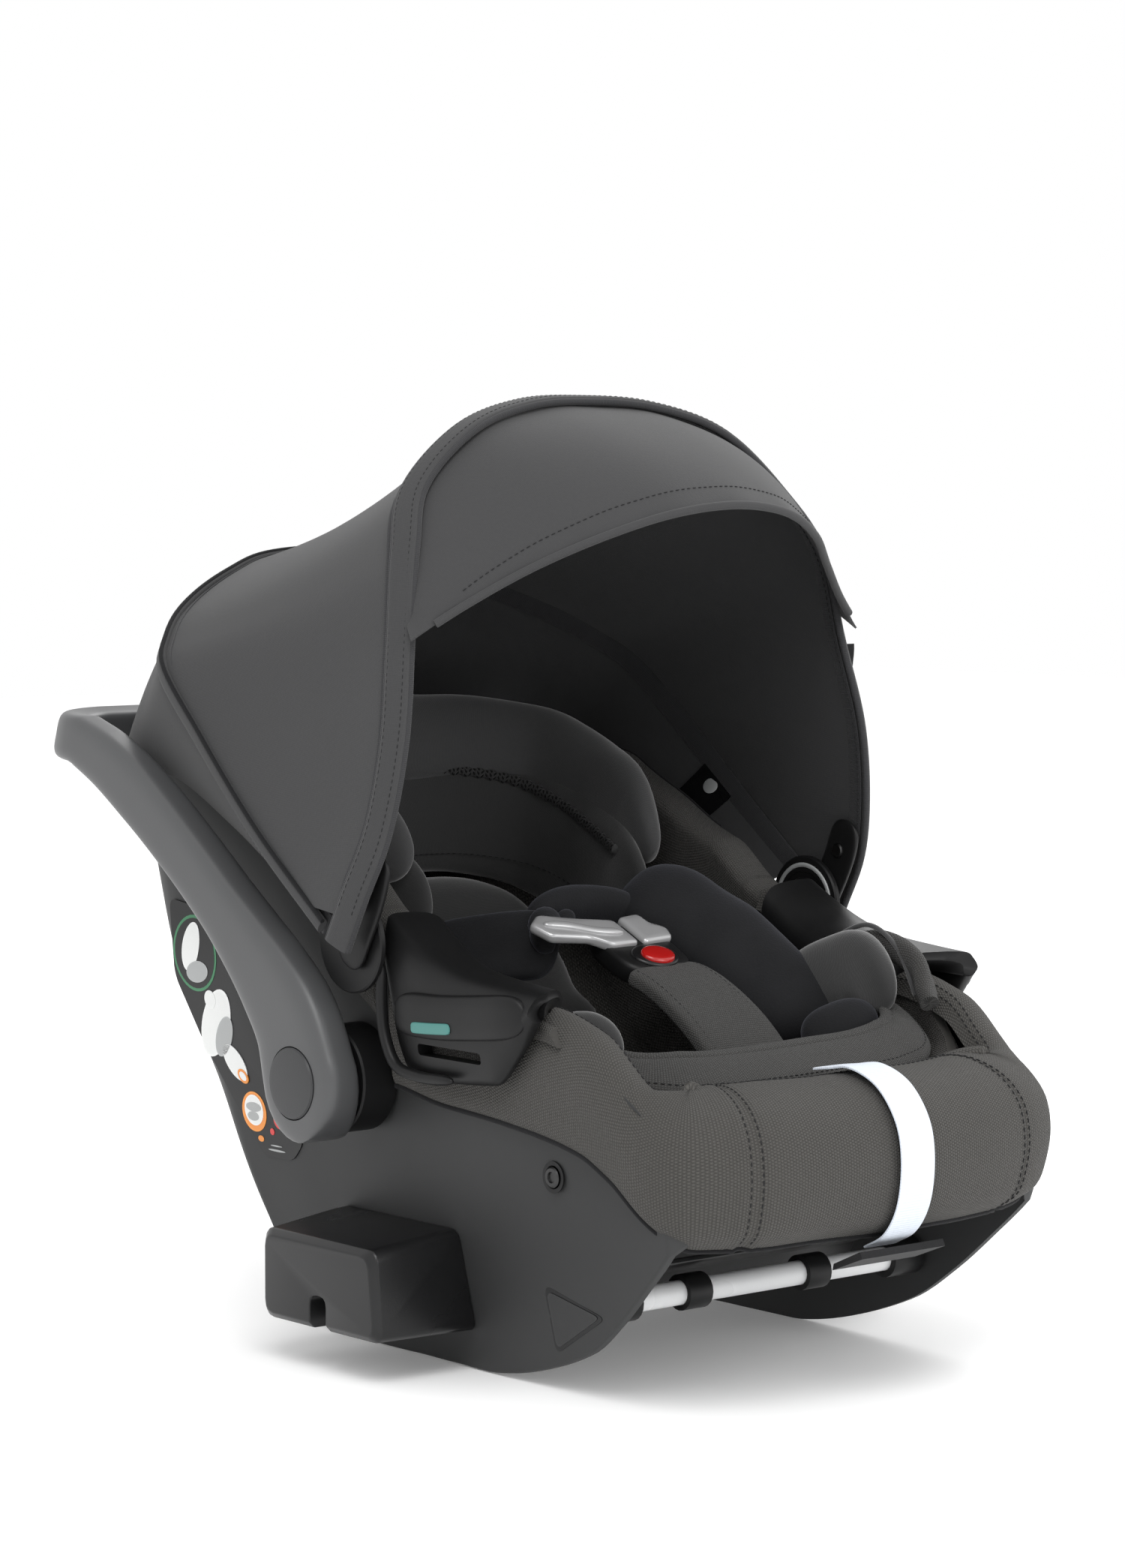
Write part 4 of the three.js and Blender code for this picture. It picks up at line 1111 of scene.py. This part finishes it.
def canopy_sheet(name, line_a, line_b, sag, material, across=26, thick=1.3, folds=0.0, seed=0.0):
    """One cloth between two lines: it sags between them and is drawn tight where it meets them."""
    t = np.linspace(0, 1, across)[:, None]
    grid = []
    for i, (a, b) in enumerate(zip(line_a, line_b)):
        f = i / (len(line_a) - 1)
        normal = out_from((a + b) / 2)
        bow = sag(f) * 4 * t * (1 - t)
        wave = (
            folds * np.sin(f * 46 + seed) * np.exp(-t * 9)
            + folds * np.sin(f * 61 + 2 * seed) * np.exp(-(1 - t) * 9)
        )
        grid.append(a + (b - a) * t + normal * (wave - bow))
    grid = np.array(grid)
    slope_u = np.gradient(grid, axis=0)
    slope_v = np.gradient(grid, axis=1)
    normal = unit(np.cross(slope_u, slope_v))
    if (normal * out_from(grid)).sum() < 0:
        normal = -normal
    return skins(name, grid, grid - normal * thick, material, 60), grid


def make_canopy():
    front = smooth_line(mirror_line(FRONT_BOW), STEPS + 1)
    back = smooth_line(mirror_line(BACK_BOW), STEPS + 1)
    hem = smooth_line(mirror_line(HEM), STEPS + 1)
    taper = lambda f: 12 * math.sin(math.pi * f)
    inner = lambda line, depth: line - out_from(line) * depth
    cut = slice(3, STEPS - 2)
    main, main_grid = canopy_sheet(
        "canopy_main_cloth", inner(back, -1)[cut], inner(front, 0.5)[cut], taper, "canopy",
        folds=0.25
    )
    rear, rear_grid = canopy_sheet(
        "canopy_rear_cloth", inner(back, 1.5)[cut], hem[cut], lambda f: -4, "canopy", folds=0.3,
        seed=1.0
    )
    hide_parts("canopy_main_panel")
    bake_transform(main)
    settle(rear, "root", "canopy_rear_panel", slot="canopy")
    settle(cord(
        "front_bow_band", front, out_from(front), 2.6, 8.5, "canopy", 24, 3.4, 60
    ), "canopy_front", "canopy_front_bow", slot="binding")
    side = unit(np.cross(np.gradient(front, axis=0), out_from(front)))
    if side[STEPS // 2][1] > 0:
        side = -side
    lip = front + side * 8.3 - out_from(front) * 1.2
    settle(cord("front_bow_piping", lip, out_from(lip), 2.2, 1.7, "binding", 14), "canopy_front")
    rear_lip = front - side * 8.3 + out_from(front) * 0.2
    settle(cord(
        "front_bow_seam", rear_lip, out_from(rear_lip), 1.3, 1.1, "binding", 10
    ), "canopy_front")
    rows = [front + side * 4.6 + out_from(front) * 2.55, front - side * 6.4 + out_from(front) * 2.2]
    settle(stitches(
        "front_bow_stitches", [r[4:-4] for r in rows], "thread", None, 2.8, 0.7
    ), "canopy_front")
    lining_line = front - side * 4 - out_from(front) * 4.2
    settle(cord(
        "front_bow_lining", lining_line, out_from(lining_line), 1.0, 10, "binding", 20, 3, 60,
        trim=5
    ), "canopy_front")
    inner_rows = [lining_line + side * w - out_from(front) * 1.15 for w in (-8, 8)]
    settle(stitches(
        "lining_stitches", [r[7:-7] for r in inner_rows], "thread", None, 2.8, 0.7
    ), "canopy_front")
    tape_line = back - out_from(back) * 4.4
    settle(cord(
        "back_bow_tape", tape_line, out_from(tape_line), 1.0, 8, "binding", 20, 3, 60
    ), "root")
    settle(cord(
        "back_bow_band", back, out_from(back), 2.6, 5, "canopy", 24, 2.4, 60
    ), "root", "canopy_back_bow", slot="binding")
    across = unit(np.cross(np.gradient(back, axis=0), out_from(back)))
    if across[STEPS // 2][1] > 0:
        across = -across
    cord_line = back + across * 4.2 + out_from(back) * 1.6
    settle(cord("back_bow_piping", cord_line, out_from(cord_line), 1.5, 1.5, "piping"), "root")
    seam_line = back - across * 4.6 + out_from(back) * 1.2
    settle(stitches("back_bow_stitches", [seam_line[4:-4]], "thread", None, 2.8, 0.7), "root")
    make_visor(front)
    make_care_tag(rear_grid)
    for side_x, tag in SIDES:
        settle(disc_stack(
            f"pivot_{tag}", side_x,
            [
                (1, 190.8), (30, 190.8), (31, 190), (31, 187.4), (30, 186.4), (21, 186.2),
                (20.4, 187), (17, 187), (16.4, 186.2), (1, 186)
            ], *BOW_DISC, "trim"
        ), "root", f"canopy_pivot_{tag}", slot="trim")
    for side_x, tag in SIDES:
        path = [
            (side_x * 194, -50, 318), (side_x * 194, -42, 294), (side_x * 194, -27, 266),
            (side_x * 194, -18, 248)
        ]
        settle(cushion(
            f"bow_bracket_{tag}", path, 13, 2.6, (0, 1, 0.25), "trim", 40, 3.2, 0.0, 1.0, 8.0
        ), "canopy_front")
        settle(disc_stack(
            f"bow_rivet_{tag}", side_x,
            [(1, 204), (4, 204), (5, 203), (5, 190.6), (4, 189.8), (1, 189.6)], -43, 298,
            "steel_dark", 32
        ), "canopy_front")
        turn = circle(48)
        loop = circle(12)
        hoops = [
            [
                (
                    side_x * (186 + 0.8 * math.cos(u)),
                    -16 + (25 + 1.5 * math.sin(u)) * math.cos(t),
                    262 + (25 + 1.5 * math.sin(u)) * math.sin(t)
                ) for u in loop
            ] for t in turn
        ]
        settle(tube(f"pivot_ring_{tag}", hoops, "ink_grey", 60, closed=True), "root")
    tag_step = int(STEPS * TAG_SHARE)
    tag_line = front[tag_step] if front[tag_step][0] > 0 else front[-tag_step - 1]
    make_tag(tag_line)


def make_care_tag(rear_grid):
    """A plain dark tag with a grey disc, sewn inside the rear cloth near the right pivot."""
    near = [
        i for i in range(len(rear_grid)) if rear_grid[i][8][0] > 0 and 70 < rear_grid[i][8][1] < 106
    ]
    patch = smooth_patch(rear_grid[near[0] : near[-1] + 1, 3:19])
    normal = unit(np.cross(np.gradient(patch, axis=0), np.gradient(patch, axis=1)))
    if (normal * out_from(patch)).sum() > 0:
        normal = -normal
    settle(skins("care_tag", patch + normal * 2.6, patch + normal * 2.0, "label", 60), "root")
    centre = patch[len(patch) // 2, 7] + normal[len(patch) // 2, 7] * 2.6
    face = unit(normal.mean((0, 1)))
    level = unit(np.cross(face, (0, 0, 1)))
    rise = np.cross(level, face)
    turn = circle(32)
    rings = [
        [centre + face * h + (level * math.cos(t) + rise * math.sin(t)) * r for t in turn]
        for r, h in ((0.3, -0.2), (5.4, -0.2), (5.6, 0.2), (5.2, 0.5), (0.3, 0.6))
    ]
    settle(tube("care_tag_disc", rings, "ink_grey", 50), "root")


def smooth_patch(grid):
    """The same patch of cloth drawn with more points."""
    rows = np.array([smooth_line(row, 24) for row in grid])
    return np.array([smooth_line(rows[:, k], 24) for k in range(24)]).transpose(1, 0, 2)


def make_tag(p):
    """A small plain cloth tag sewn into the outer edge of the front bow."""
    t = np.linspace(0, 1, 8)
    grid = np.array([[(p[0] + 1 + 9 * a, p[1] - 1, p[2] - 22 + 26 * b) for a in t] for b in t])
    grid[..., 1] += 0.8 * np.sin(grid[..., 2] * 0.2)
    settle(skins("bow_tag", grid, grid + (0, 0.6, 0), "piping", 60), "canopy_front")


def make_visor(front):
    edge = smooth_line(mirror_line(VISOR), 101)
    first = int(STEPS * 7 / 30)
    bow = front[first : STEPS - first + 1]
    run = np.linspace(0, len(bow) - 1, 101)
    bow = np.stack([np.interp(run, np.arange(len(bow)), bow[:, k]) for k in range(3)], 1)
    bow = bow - out_from(bow) * 3.6
    visor, grid = canopy_sheet(
        "visor_cloth", bow, edge,
        lambda f: -9 * math.sin(math.pi * min(1, max(0, f * 1.04 - 0.02))) ** 0.5, "canopy",
        folds=0.5, seed=2.0
    )
    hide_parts("visor_panel")
    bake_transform(visor)
    settle(cord(
        "visor_hem", edge, out_from(edge), 2.6, 2.6, "canopy", 16, trim=4
    ), "visor", "visor_wire", slot="canopy")
    lift = grid[:, -4] + out_from(grid[:, -4]) * 0.3
    settle(stitches("visor_stitches", [lift[10:-10]], "thread", None, 2.8, 0.7), "visor")


# ---- padding -----------------------------------------------------------------------------------
def make_inserts():
    up = np.array([0, 0.3, 0.95])
    head = [
        (103, 40, 296), (111, 74, 320), (111, 114, 341), (98, 160, 358), (54, 190, 366),
        (0, 198, 368)
    ]
    # the head roll takes the brighter copy of the jersey, a painted highlight
    settle(cushion(
        "head_roll", mirror_line(head), 31, 15, up, "satin", 150, 2.2, 1.0, 0.7, 9.0
    ), "root", "head_insert", slot="insert", fill=0.6)
    inner = [
        (91, 34, 262), (98, 76, 277), (97, 114, 293), (84, 150, 307), (46, 178, 315), (0, 186, 316)
    ]
    settle(cushion(
        "head_inner_pad", mirror_line(inner), 40, 11, up, "jersey", 150, 2.2, 1.0, 1.7, 9.0
    ), "root", fill=0.6)
    line = smooth_line(mirror_line(inner), 190)[6:-6]
    toward = unit(np.array([0, 50, 0]) - line * (1, 1, 0))
    line = line + up * 33 + toward * 9.5
    settle(tube(
        "head_braid",
        sweep_rings(
            line, up, [section(3.4 + 0.7 * math.sin(k * 1.6), 2.4, 12, 2) for k in range(len(line))]
        ), "spacer", 80
    ), "root")
    low_row = smooth_line(mirror_line(inner), 190)[12:-12]
    low_row = low_row - up * 26 + toward[6:-6] * 10.2
    settle(stitches("head_pad_stitches", [low_row], "thread", None, 2.8, 0.8), "root")
    rows, under = [], []
    for k, a in enumerate(np.linspace(50, 134, 60)):
        f = k / 59
        s = float(dome(np.array(f), 6, 0.2))
        xs = np.linspace(-1, 1, 40) * 95 * s
        edge = np.sqrt(np.maximum(0, 1 - np.abs(np.linspace(-1, 1, 40)) ** 3.4))
        thick = 3 + 19 * s * edge
        thick += 1.2 * ripple(np.stack([xs, np.full(40, a * 6.0), np.zeros(40)], -1), 22, 0.3)
        rows.append(fan_point(a, float(seat_r(a)) - 2 - thick, xs))
        under.append(fan_point(a, float(seat_r(a)) - 1.0 + 0 * xs, xs))
    settle(skins(
        "body_pad", rows, under, "jersey", 60
    ), "root", "body_insert", slot="insert", fill=0.6)
    settle(cushion(
        "back_pad", [(0, 40, 176), (0, 84, 196), (0, 120, 226), (0, 148, 260), (0, 158, 276)], 76,
        17, (1, 0, 0), "jersey", 60, 3.2, 1.2, 2.1, 5.0
    ), "root", fill=0.6)
    settle(cushion(
        "hip_pad_right", [(104, -64, 188), (108, -105, 216), (109, -148, 234), (104, -184, 220)],
        27, 12, (0, 0.5, 1), "jersey", 56, 2.2, 1.0, 2.0, 3.0
    ), "root", "hip_wing_right", slot="insert", fill=0.6)
    settle(cushion(
        "hip_pad_left", [(-103, -66, 170), (-107, -105, 192), (-108, -142, 205), (-104, -168, 203)],
        22, 10, (0, 0.5, 1), "jersey", 56, 2.2, 1.0, -2.0, 3.0
    ), "root", "hip_wing_left", slot="insert", fill=0.6)
    arc = smooth_line(
        [(122, -70, 210), (124, -110, 236), (125, -150, 250), (122, -186, 240), (116, -204, 218)],
        60
    )
    settle(cord("hip_rim", arc, (0, 0.5, 1), 9, 6, "insert_trim", 24, 2.2), "root")
    settle(cushion(
        "thigh_pad", [(60, -150, 192), (74, -160, 200), (92, -166, 204), (104, -168, 200)], 17, 13,
        (0, 0.5, 0.9), "velour", 40, 2.2, 1.0, 0.2, 3.0
    ), "root", fill=0.5)
    edge_line = smooth_line(
        [(116, -92, 232), (119, -118, 252), (120, -146, 262), (119, -172, 250), (116, -192, 222)],
        60
    )
    # the hip pad piping takes the brighter copy of the jersey, a painted highlight
    settle(cord("hip_pad_piping", edge_line, (1, 0, 0), 1.6, 1.6, "satin"), "root")
    path = [
        (-119, -150, 200), (-112, -180, 192), (-80, -204, 189), (-30, -211, 189), (20, -211, 190),
        (72, -208, 192), (104, -197, 197), (118, -174, 207), (121, -150, 216)
    ]
    lip_line = smooth_line(path, 150)
    outward = unit((lip_line - (0, -110, 0)) * (1, 1, 0))
    down = unit(outward * 0.84 + (0, 0, -0.52))
    over = unit(outward * 0.52 + (0, 0, 0.84))
    narrow = np.interp(np.arange(150), [0, 30, 118, 149], [0.5, 1, 1, 0.45])
    settle(tube(
        "insert_lip_brim",
        sweep_rings(lip_line, down, [section(18 * n, 5, 32, 2.8) for n in narrow]), "insert_trim",
        80
    ), "root", "insert_lip", slot="insert_trim", fill=0.5)
    front_row = lip_line + down * 11 * narrow[:, None] + over * 4.9
    settle(stitches("lip_stitches", [front_row[6:-6]], "thread", None, 2.8, 0.8), "root")
    inner_edge = lip_line - down * 19 * narrow[:, None] + over * 1.0
    settle(cord("lip_binding", inner_edge, over, 3.0, 4.4, "insert_trim", 16, 2.2), "root")
    slit_line = smooth_line([(8, -205, 194), (30, -206, 195), (52, -205, 196)], 30) + (0, 3, 3.0)
    settle(cushion(
        "strap_slit", [tuple(p) for p in slit_line[::7]], 3.6, 1.6, (0, -0.84, -0.52),
        "thread_light", 30, 2.2, 0.0, 1.0, 3.0
    ), "root")


BUCKLE = np.array([0, -66, 244])
DOWN_SLOPE = unit(np.array([0, -0.9, -0.42]))
OFF_SLOPE = unit(np.array([0, -0.42, 0.9]))


def slope_slab(name, outline, h0, h1, material, soften=1.2):
    """A rounded plate on the buckle's slope, its outline in width and distance down the slope."""
    outline = np.asarray(outline, float)
    middle = outline.mean(0)
    rings = []
    reach = np.linalg.norm(outline - middle, axis=1, keepdims=True)
    steps = [
        (0.02, h0), (-soften, h0), (-soften * 0.3, h0 + soften * 0.3), (0, h0 + soften),
        (0, h1 - soften), (-soften * 0.3, h1 - soften * 0.3), (-soften, h1),
        (-soften * 3, h1 + 0.25)
    ]
    for grow, h in steps:
        factor = 0.02 if grow == 0.02 else np.maximum(0.05, (reach + grow) / reach)
        flat = middle + (outline - middle) * factor
        rings.append([BUCKLE + (x, 0, 0) + DOWN_SLOPE * s + OFF_SLOPE * h for x, s in flat])
    return tube(name, rings, material, 50)


def make_harness():
    left = cushion(
        "shoulder_band_left",
        [(-98, 70, 232), (-80, 44, 240), (-62, 14, 247), (-44, -14, 250), (-36, -28, 250)], 23, 8,
        (0.5, 0.1, 0.85), "velour", 60, 3.2, 1.5, 0.3, 12.0
    )
    settle(left, "root", "shoulder_pad_left", slot="velour", fill=0.5)
    settle(cushion(
        "shoulder_fold", [(-38, 0, 262), (-22, 2, 268), (4, 2, 270), (30, -4, 267), (50, -12, 258)],
        13, 9, (0, -0.5, 0.9), "velour", 50, 2.2, 2.6, 0.8, 6.0
    ), "root", fill=0.5)
    settle(cushion(
        "shoulder_curl", [(-46, -30, 246), (-45, -22, 258), (-36, -16, 265), (-26, -16, 262)], 9, 7,
        (0.5, 0.6, 0.5), "velour", 34, 2.2, 2.2, 1.9, 4.0
    ), "root", fill=0.5)
    settle(cushion(
        "shoulder_knot", [(-26, -22, 254), (-20, -14, 262), (-12, -12, 268)], 7, 7, (0.6, 0.5, 0.4),
        "velour", 26, 2.0, 2.2, 0.6, 3.0
    ), "root", fill=0.5)
    right = cushion(
        "shoulder_roll_right",
        [(52, 8, 276), (62, -24, 266), (74, -66, 242), (86, -106, 212), (88, -124, 190)], 31, 18,
        (0.85, -0.45, 0.25), "velour", 70, 2.4, 1.4, 1.3, 8.0
    )
    settle(right, "root", "shoulder_pad_right", slot="velour", fill=0.6)
    turn = circle(48)

    def square(wave):
        return np.sign(wave) * abs(wave) ** 0.6

    case = [(27 * square(np.cos(t)), -2 + 28 * square(np.sin(t))) for t in turn]
    settle(slope_slab(
        "buckle_case", case, -8, 6.0, "trim", 3.0
    ), "root", "buckle_body", slot="buckle")
    ring = [(17 * np.cos(t), 11 + 13 * np.sin(t)) for t in turn]
    settle(slope_slab("buckle_ring", ring, 5, 8.0, "block", 1.4), "root")
    oval = [(12 * np.cos(t), 13 + 9.5 * np.sin(t)) for t in turn]
    settle(slope_slab(
        "buckle_red", oval, 2, 10.5, "red", 1.6
    ), "buckle_release", "buckle_button", slot="red")
    shapes = {
        "left": [
            (-2.5, -3), (-24, -3), (-34, -13), (-62, -19), (-68, -34), (-56, -44), (-30, -37),
            (-2.5, -30)
        ],
        "right": [(2.5, -3), (27, -5), (31, -16), (22, -25), (20, -36), (2.5, -33)],
    }
    for tag, shape in shapes.items():
        flat = rounded(shape, 3.2, 5)
        settle(slope_slab(
            f"tongue_{tag}", flat, 3.0, 9.5, "tongue", 2.2
        ), "root", f"buckle_tongue_{tag}", slot="tongue")
    down, off = np.array([0, -0.906, -0.423]), np.array([0, -0.423, 0.906])
    ridge = [
        BUCKLE + (x, 0, 0) + down * s + off * 10
        for x, s in ((-8, -14), (-26, -18), (-44, -27), (-60, -31))
    ]
    settle(cushion(
        "tongue_ridge", [tuple(p) for p in ridge], 3.2, 2.2, (0, -0.906, -0.423), "tongue", 36, 2.2,
        0.0, 1.0, 8.0
    ), "root")
    path = [(0, -80, 237), (2, -104, 229), (4, -134, 211), (4, -160, 190), (4, -170, 180)]
    settle(cushion(
        "crotch_band", path, 33, 6, (1, 0, 0), "insert_trim", 60, 4.0, 0.5, 0.9, 16.0
    ), "root", "crotch_pad", slot="insert_trim", fill=0.5)
    line = smooth_line(path, 60)
    away = np.array([0, -0.5, 0.86])
    rows = [line[3:-8] + (x, 0, 0) + away * 5.2 for x in (-26, 26)]
    settle(stitches("crotch_stitches", rows, "thread", None, 2.8, 0.7), "root")


def make_front():
    line = smooth_line(
        [
            (0, -236, 192.5), (0, -250, 194.5), (0, -266, 196.5), (0, -290, 188), (0, -306.5, 168),
            (0, -311, 146), (0, -307, 118), (0, -296, 101), (0, -280, 92)
        ], 70
    )
    settle(cord(
        "adjuster_webbing", line, (1, 0, 0), 13.5, 0.9, "white_webbing", 24, 6, 50
    ), "root", "adjuster_strap", slot="white_webbing")
    paint("strap_loop", "webbing")
    settle(disc_stack(
        "tube_bar", 1, [(1, -118), (7.5, -118), (7.5, 118), (1, 118)], -176, 56, "tube", 48
    ), "root", "front_tube", slot="tube")
    for node_name in ("tube_socket_left", "tube_socket_right", "tube_clip_1", "tube_clip_2"):
        settle(softened(
            node_name, f"{node_name}_soft", "trim", 1.0, 3
        ), "root", node_name, slot="trim")
    settle(softened(
        "tube_bracket", "bracket_soft", "bracket", 1.0, 3
    ), "root", "tube_bracket", slot="bracket")


# ---- studio ------------------------------------------------------------------------------------
def area_light(name, place, aim, size, power, color=(1, 1, 1)):
    data = bpy.data.lights.new(name, "AREA")
    data.shape = "RECTANGLE"
    data.size, data.size_y = size
    data.energy = power
    data.color = color
    light = bpy.data.objects.new(name, data)
    light.location = place
    light.rotation_euler = (Vector(aim) - Vector(place)).to_track_quat("-Z", "Y").to_euler()
    bpy.context.scene.collection.objects.link(light)


def make_stage(sizes):
    bpy.ops.mesh.primitive_plane_add(size=sizes.floor, location=(0, 0, -FLOOR_DROP))
    floor = bpy.context.object
    floor.name = "floor"
    mat, tree, bsdf = shader("floor", 0.9, specular=0.1)
    place = tree.nodes.new("ShaderNodeTexCoord").outputs["Object"]
    cloud = node(tree, "ShaderNodeTexNoise", place, None, 1.2, 2.0)
    tree.links.new(
        mix_color(tree, cloud, (0.965, 0.965, 0.965, 1), (0.985, 0.985, 0.985, 1)),
        bsdf.inputs["Base Color"]
    )
    bsdf.inputs["Emission Color"].default_value = (1, 1, 1, 1)
    bsdf.inputs["Emission Strength"].default_value = FLOOR_GLOW
    floor.data.materials.append(mat)
    scene = bpy.context.scene
    world = bpy.data.worlds.new("studio")
    world.use_nodes = True
    world.node_tree.nodes["Background"].inputs[0].default_value = (1, 1, 1, 1)
    world.node_tree.nodes["Background"].inputs[1].default_value = 1.0
    scene.world = world
    area_light("key", (-1.4, -1.6, 2.6), (0, 0, 0.3), (1.6, 1.6), 42 * sizes.light)
    area_light("rim", (1.8, 1.2, 2.2), (0, 0, 0.3), (1.2, 1.6), 22 * sizes.light)
    area_light("front", (0.6, -2.6, 1.2), (0, -0.1, 0.2), (1.4, 1.0), 16 * sizes.light)
    data = bpy.data.cameras.new("camera")
    data.lens, data.sensor_width = CAMERA_LENS, CAMERA_SENSOR
    camera = bpy.data.objects.new("camera", data)
    camera.location = CAMERA_AT
    camera.rotation_euler = Vector(CAMERA_AIM).to_track_quat("-Z", "Y").to_euler()
    scene.collection.objects.link(camera)
    scene.camera = camera
    scene.view_settings.view_transform = "Standard"


# ---- add-on layout -----------------------------------------------------------------------------
def shade_of(name, default):
    return bpy.props.FloatVectorProperty(
        name=name, description=f"Base colour of the {name.lower()}", subtype="COLOR", size=3, min=0,
        max=1, default=default
    )


class SEAT_PG_colours(bpy.types.PropertyGroup):
    """Colours of the parts that are chosen with the model."""

    shell: shade_of("Shell", (0.030, 0.0305, 0.031))
    handle: shade_of("Handle", (0.064, 0.065, 0.067))
    cover: shade_of("Seat cover", (0.070, 0.067, 0.062))
    canopy: shade_of("Canopy cloth", (0.046, 0.046, 0.0472))
    jersey: shade_of("Insert", (0.032, 0.032, 0.0322))
    velour: shade_of("Harness pads", (0.0125, 0.0126, 0.0134))
    strap: shade_of("Front strap", (0.66, 0.71, 0.79))
    mark: shade_of("Belt guide mark", (0.055, 0.2, 0.18))


class SEAT_PG_sizes(bpy.types.PropertyGroup):
    """Sizes of the sewn parts and of the studio."""

    seam: bpy.props.FloatProperty(
        name="Seam half distance",
        description="Distance from the middle to each seam of the front roll", default=0.111,
        min=0.09, max=0.125, unit="LENGTH", subtype="DISTANCE"
    )
    stitch: bpy.props.FloatProperty(
        name="Stitch spacing", description="Distance from one stitch to the next", default=0.0042,
        min=0.002, max=0.01, unit="LENGTH", subtype="DISTANCE"
    )
    floor: bpy.props.FloatProperty(
        name="Floor", description="Side of the square floor", default=14.0, min=4, max=40,
        unit="LENGTH", subtype="DISTANCE"
    )
    light: bpy.props.FloatProperty(
        name="Light", description="Scale of the three lamps", default=1.0, min=0.1, max=4,
        subtype="FACTOR"
    )


class BuildStep:
    """Shared by the operators: each adds one group of pieces and fails loudly."""

    bl_options = {"REGISTER"}

    def execute(self, context):
        if not MATERIALS:
            raise RuntimeError("The materials come first")
        before = len(bpy.data.objects)
        self.build()
        if len(bpy.data.objects) == before:
            raise RuntimeError(f"{self.bl_label} added nothing")
        return {"FINISHED"}


class SEAT_OT_materials(bpy.types.Operator):
    """Make every material from the chosen colours"""

    bl_idname = "seat.materials"
    bl_label = "Materials"

    def execute(self, context):
        make_materials(context.scene.seat_colours)
        return {"FINISHED"}


class SEAT_OT_shell(BuildStep, bpy.types.Operator):
    """Build the shell, its docking blocks, labels, screws and badge plates"""

    bl_idname = "seat.shell"
    bl_label = "Shell"
    build = staticmethod(make_shell)


class SEAT_OT_handle(BuildStep, bpy.types.Operator):
    """Build the carry handle with its hubs and release buttons"""

    bl_idname = "seat.handle"
    bl_label = "Handle"
    build = staticmethod(make_handle)


class SEAT_OT_guides(BuildStep, bpy.types.Operator):
    """Build the two belt guides"""

    bl_idname = "seat.guides"
    bl_label = "Belt guides"
    build = staticmethod(make_guides)


class SEAT_OT_cover(BuildStep, bpy.types.Operator):
    """Build the seat cover with its girdle, seams and piping"""

    bl_idname = "seat.cover"
    bl_label = "Seat cover"
    build = staticmethod(make_cover)


class SEAT_OT_canopy(BuildStep, bpy.types.Operator):
    """Build the canopy cloths, bows, visor and tags"""

    bl_idname = "seat.canopy"
    bl_label = "Canopy"
    build = staticmethod(make_canopy)


class SEAT_OT_inserts(BuildStep, bpy.types.Operator):
    """Build the newborn insert: head, body and hip pads and the front lip"""

    bl_idname = "seat.inserts"
    bl_label = "Inserts"
    build = staticmethod(make_inserts)


class SEAT_OT_harness(BuildStep, bpy.types.Operator):
    """Build the shoulder pads, buckle, tongues and crotch pad"""

    bl_idname = "seat.harness"
    bl_label = "Harness"
    build = staticmethod(make_harness)


class SEAT_OT_front(BuildStep, bpy.types.Operator):
    """Build the front strap and the tube under the lip"""

    bl_idname = "seat.front"
    bl_label = "Front tube and strap"
    build = staticmethod(make_front)


class SEAT_OT_stage(BuildStep, bpy.types.Operator):
    """Set up the floor, the lamps and the camera"""

    bl_idname = "seat.stage"
    bl_label = "Studio"

    def build(self):
        make_stage(bpy.context.scene.seat_sizes)


OPERATORS = (
    SEAT_OT_materials, SEAT_OT_stage, SEAT_OT_shell, SEAT_OT_handle, SEAT_OT_guides, SEAT_OT_cover,
    SEAT_OT_canopy, SEAT_OT_inserts, SEAT_OT_harness, SEAT_OT_front,
)


class SEAT_PT_panel(bpy.types.Panel):
    """Sidebar panel with the colours, the sizes and one button for each group of pieces"""

    bl_idname = "SEAT_PT_panel"
    bl_label = "Infant car seat"
    bl_space_type = "VIEW_3D"
    bl_region_type = "UI"
    bl_category = "Car seat"

    def draw(self, context):
        for group in (context.scene.seat_colours, context.scene.seat_sizes):
            box = self.layout.box()
            for name in group.__annotations__:
                box.prop(group, name)
        for operator in OPERATORS:
            self.layout.operator(operator.bl_idname)


CLASSES = (SEAT_PG_colours, SEAT_PG_sizes, *OPERATORS, SEAT_PT_panel)


def register():
    for cls in CLASSES:
        bpy.utils.register_class(cls)
    bpy.types.Scene.seat_colours = bpy.props.PointerProperty(type=SEAT_PG_colours)
    bpy.types.Scene.seat_sizes = bpy.props.PointerProperty(type=SEAT_PG_sizes)


def unregister():
    del bpy.types.Scene.seat_sizes
    del bpy.types.Scene.seat_colours
    for cls in reversed(CLASSES):
        bpy.utils.unregister_class(cls)


def main():
    register()
    bpy.ops.seat.materials()
    bpy.ops.seat.stage()
    bpy.ops.seat.shell()
    bpy.ops.seat.handle()
    bpy.ops.seat.guides()
    bpy.ops.seat.cover()
    bpy.ops.seat.canopy()
    bpy.ops.seat.inserts()
    bpy.ops.seat.harness()
    bpy.ops.seat.front()
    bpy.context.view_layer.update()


if __name__ == "__main__":
    main()
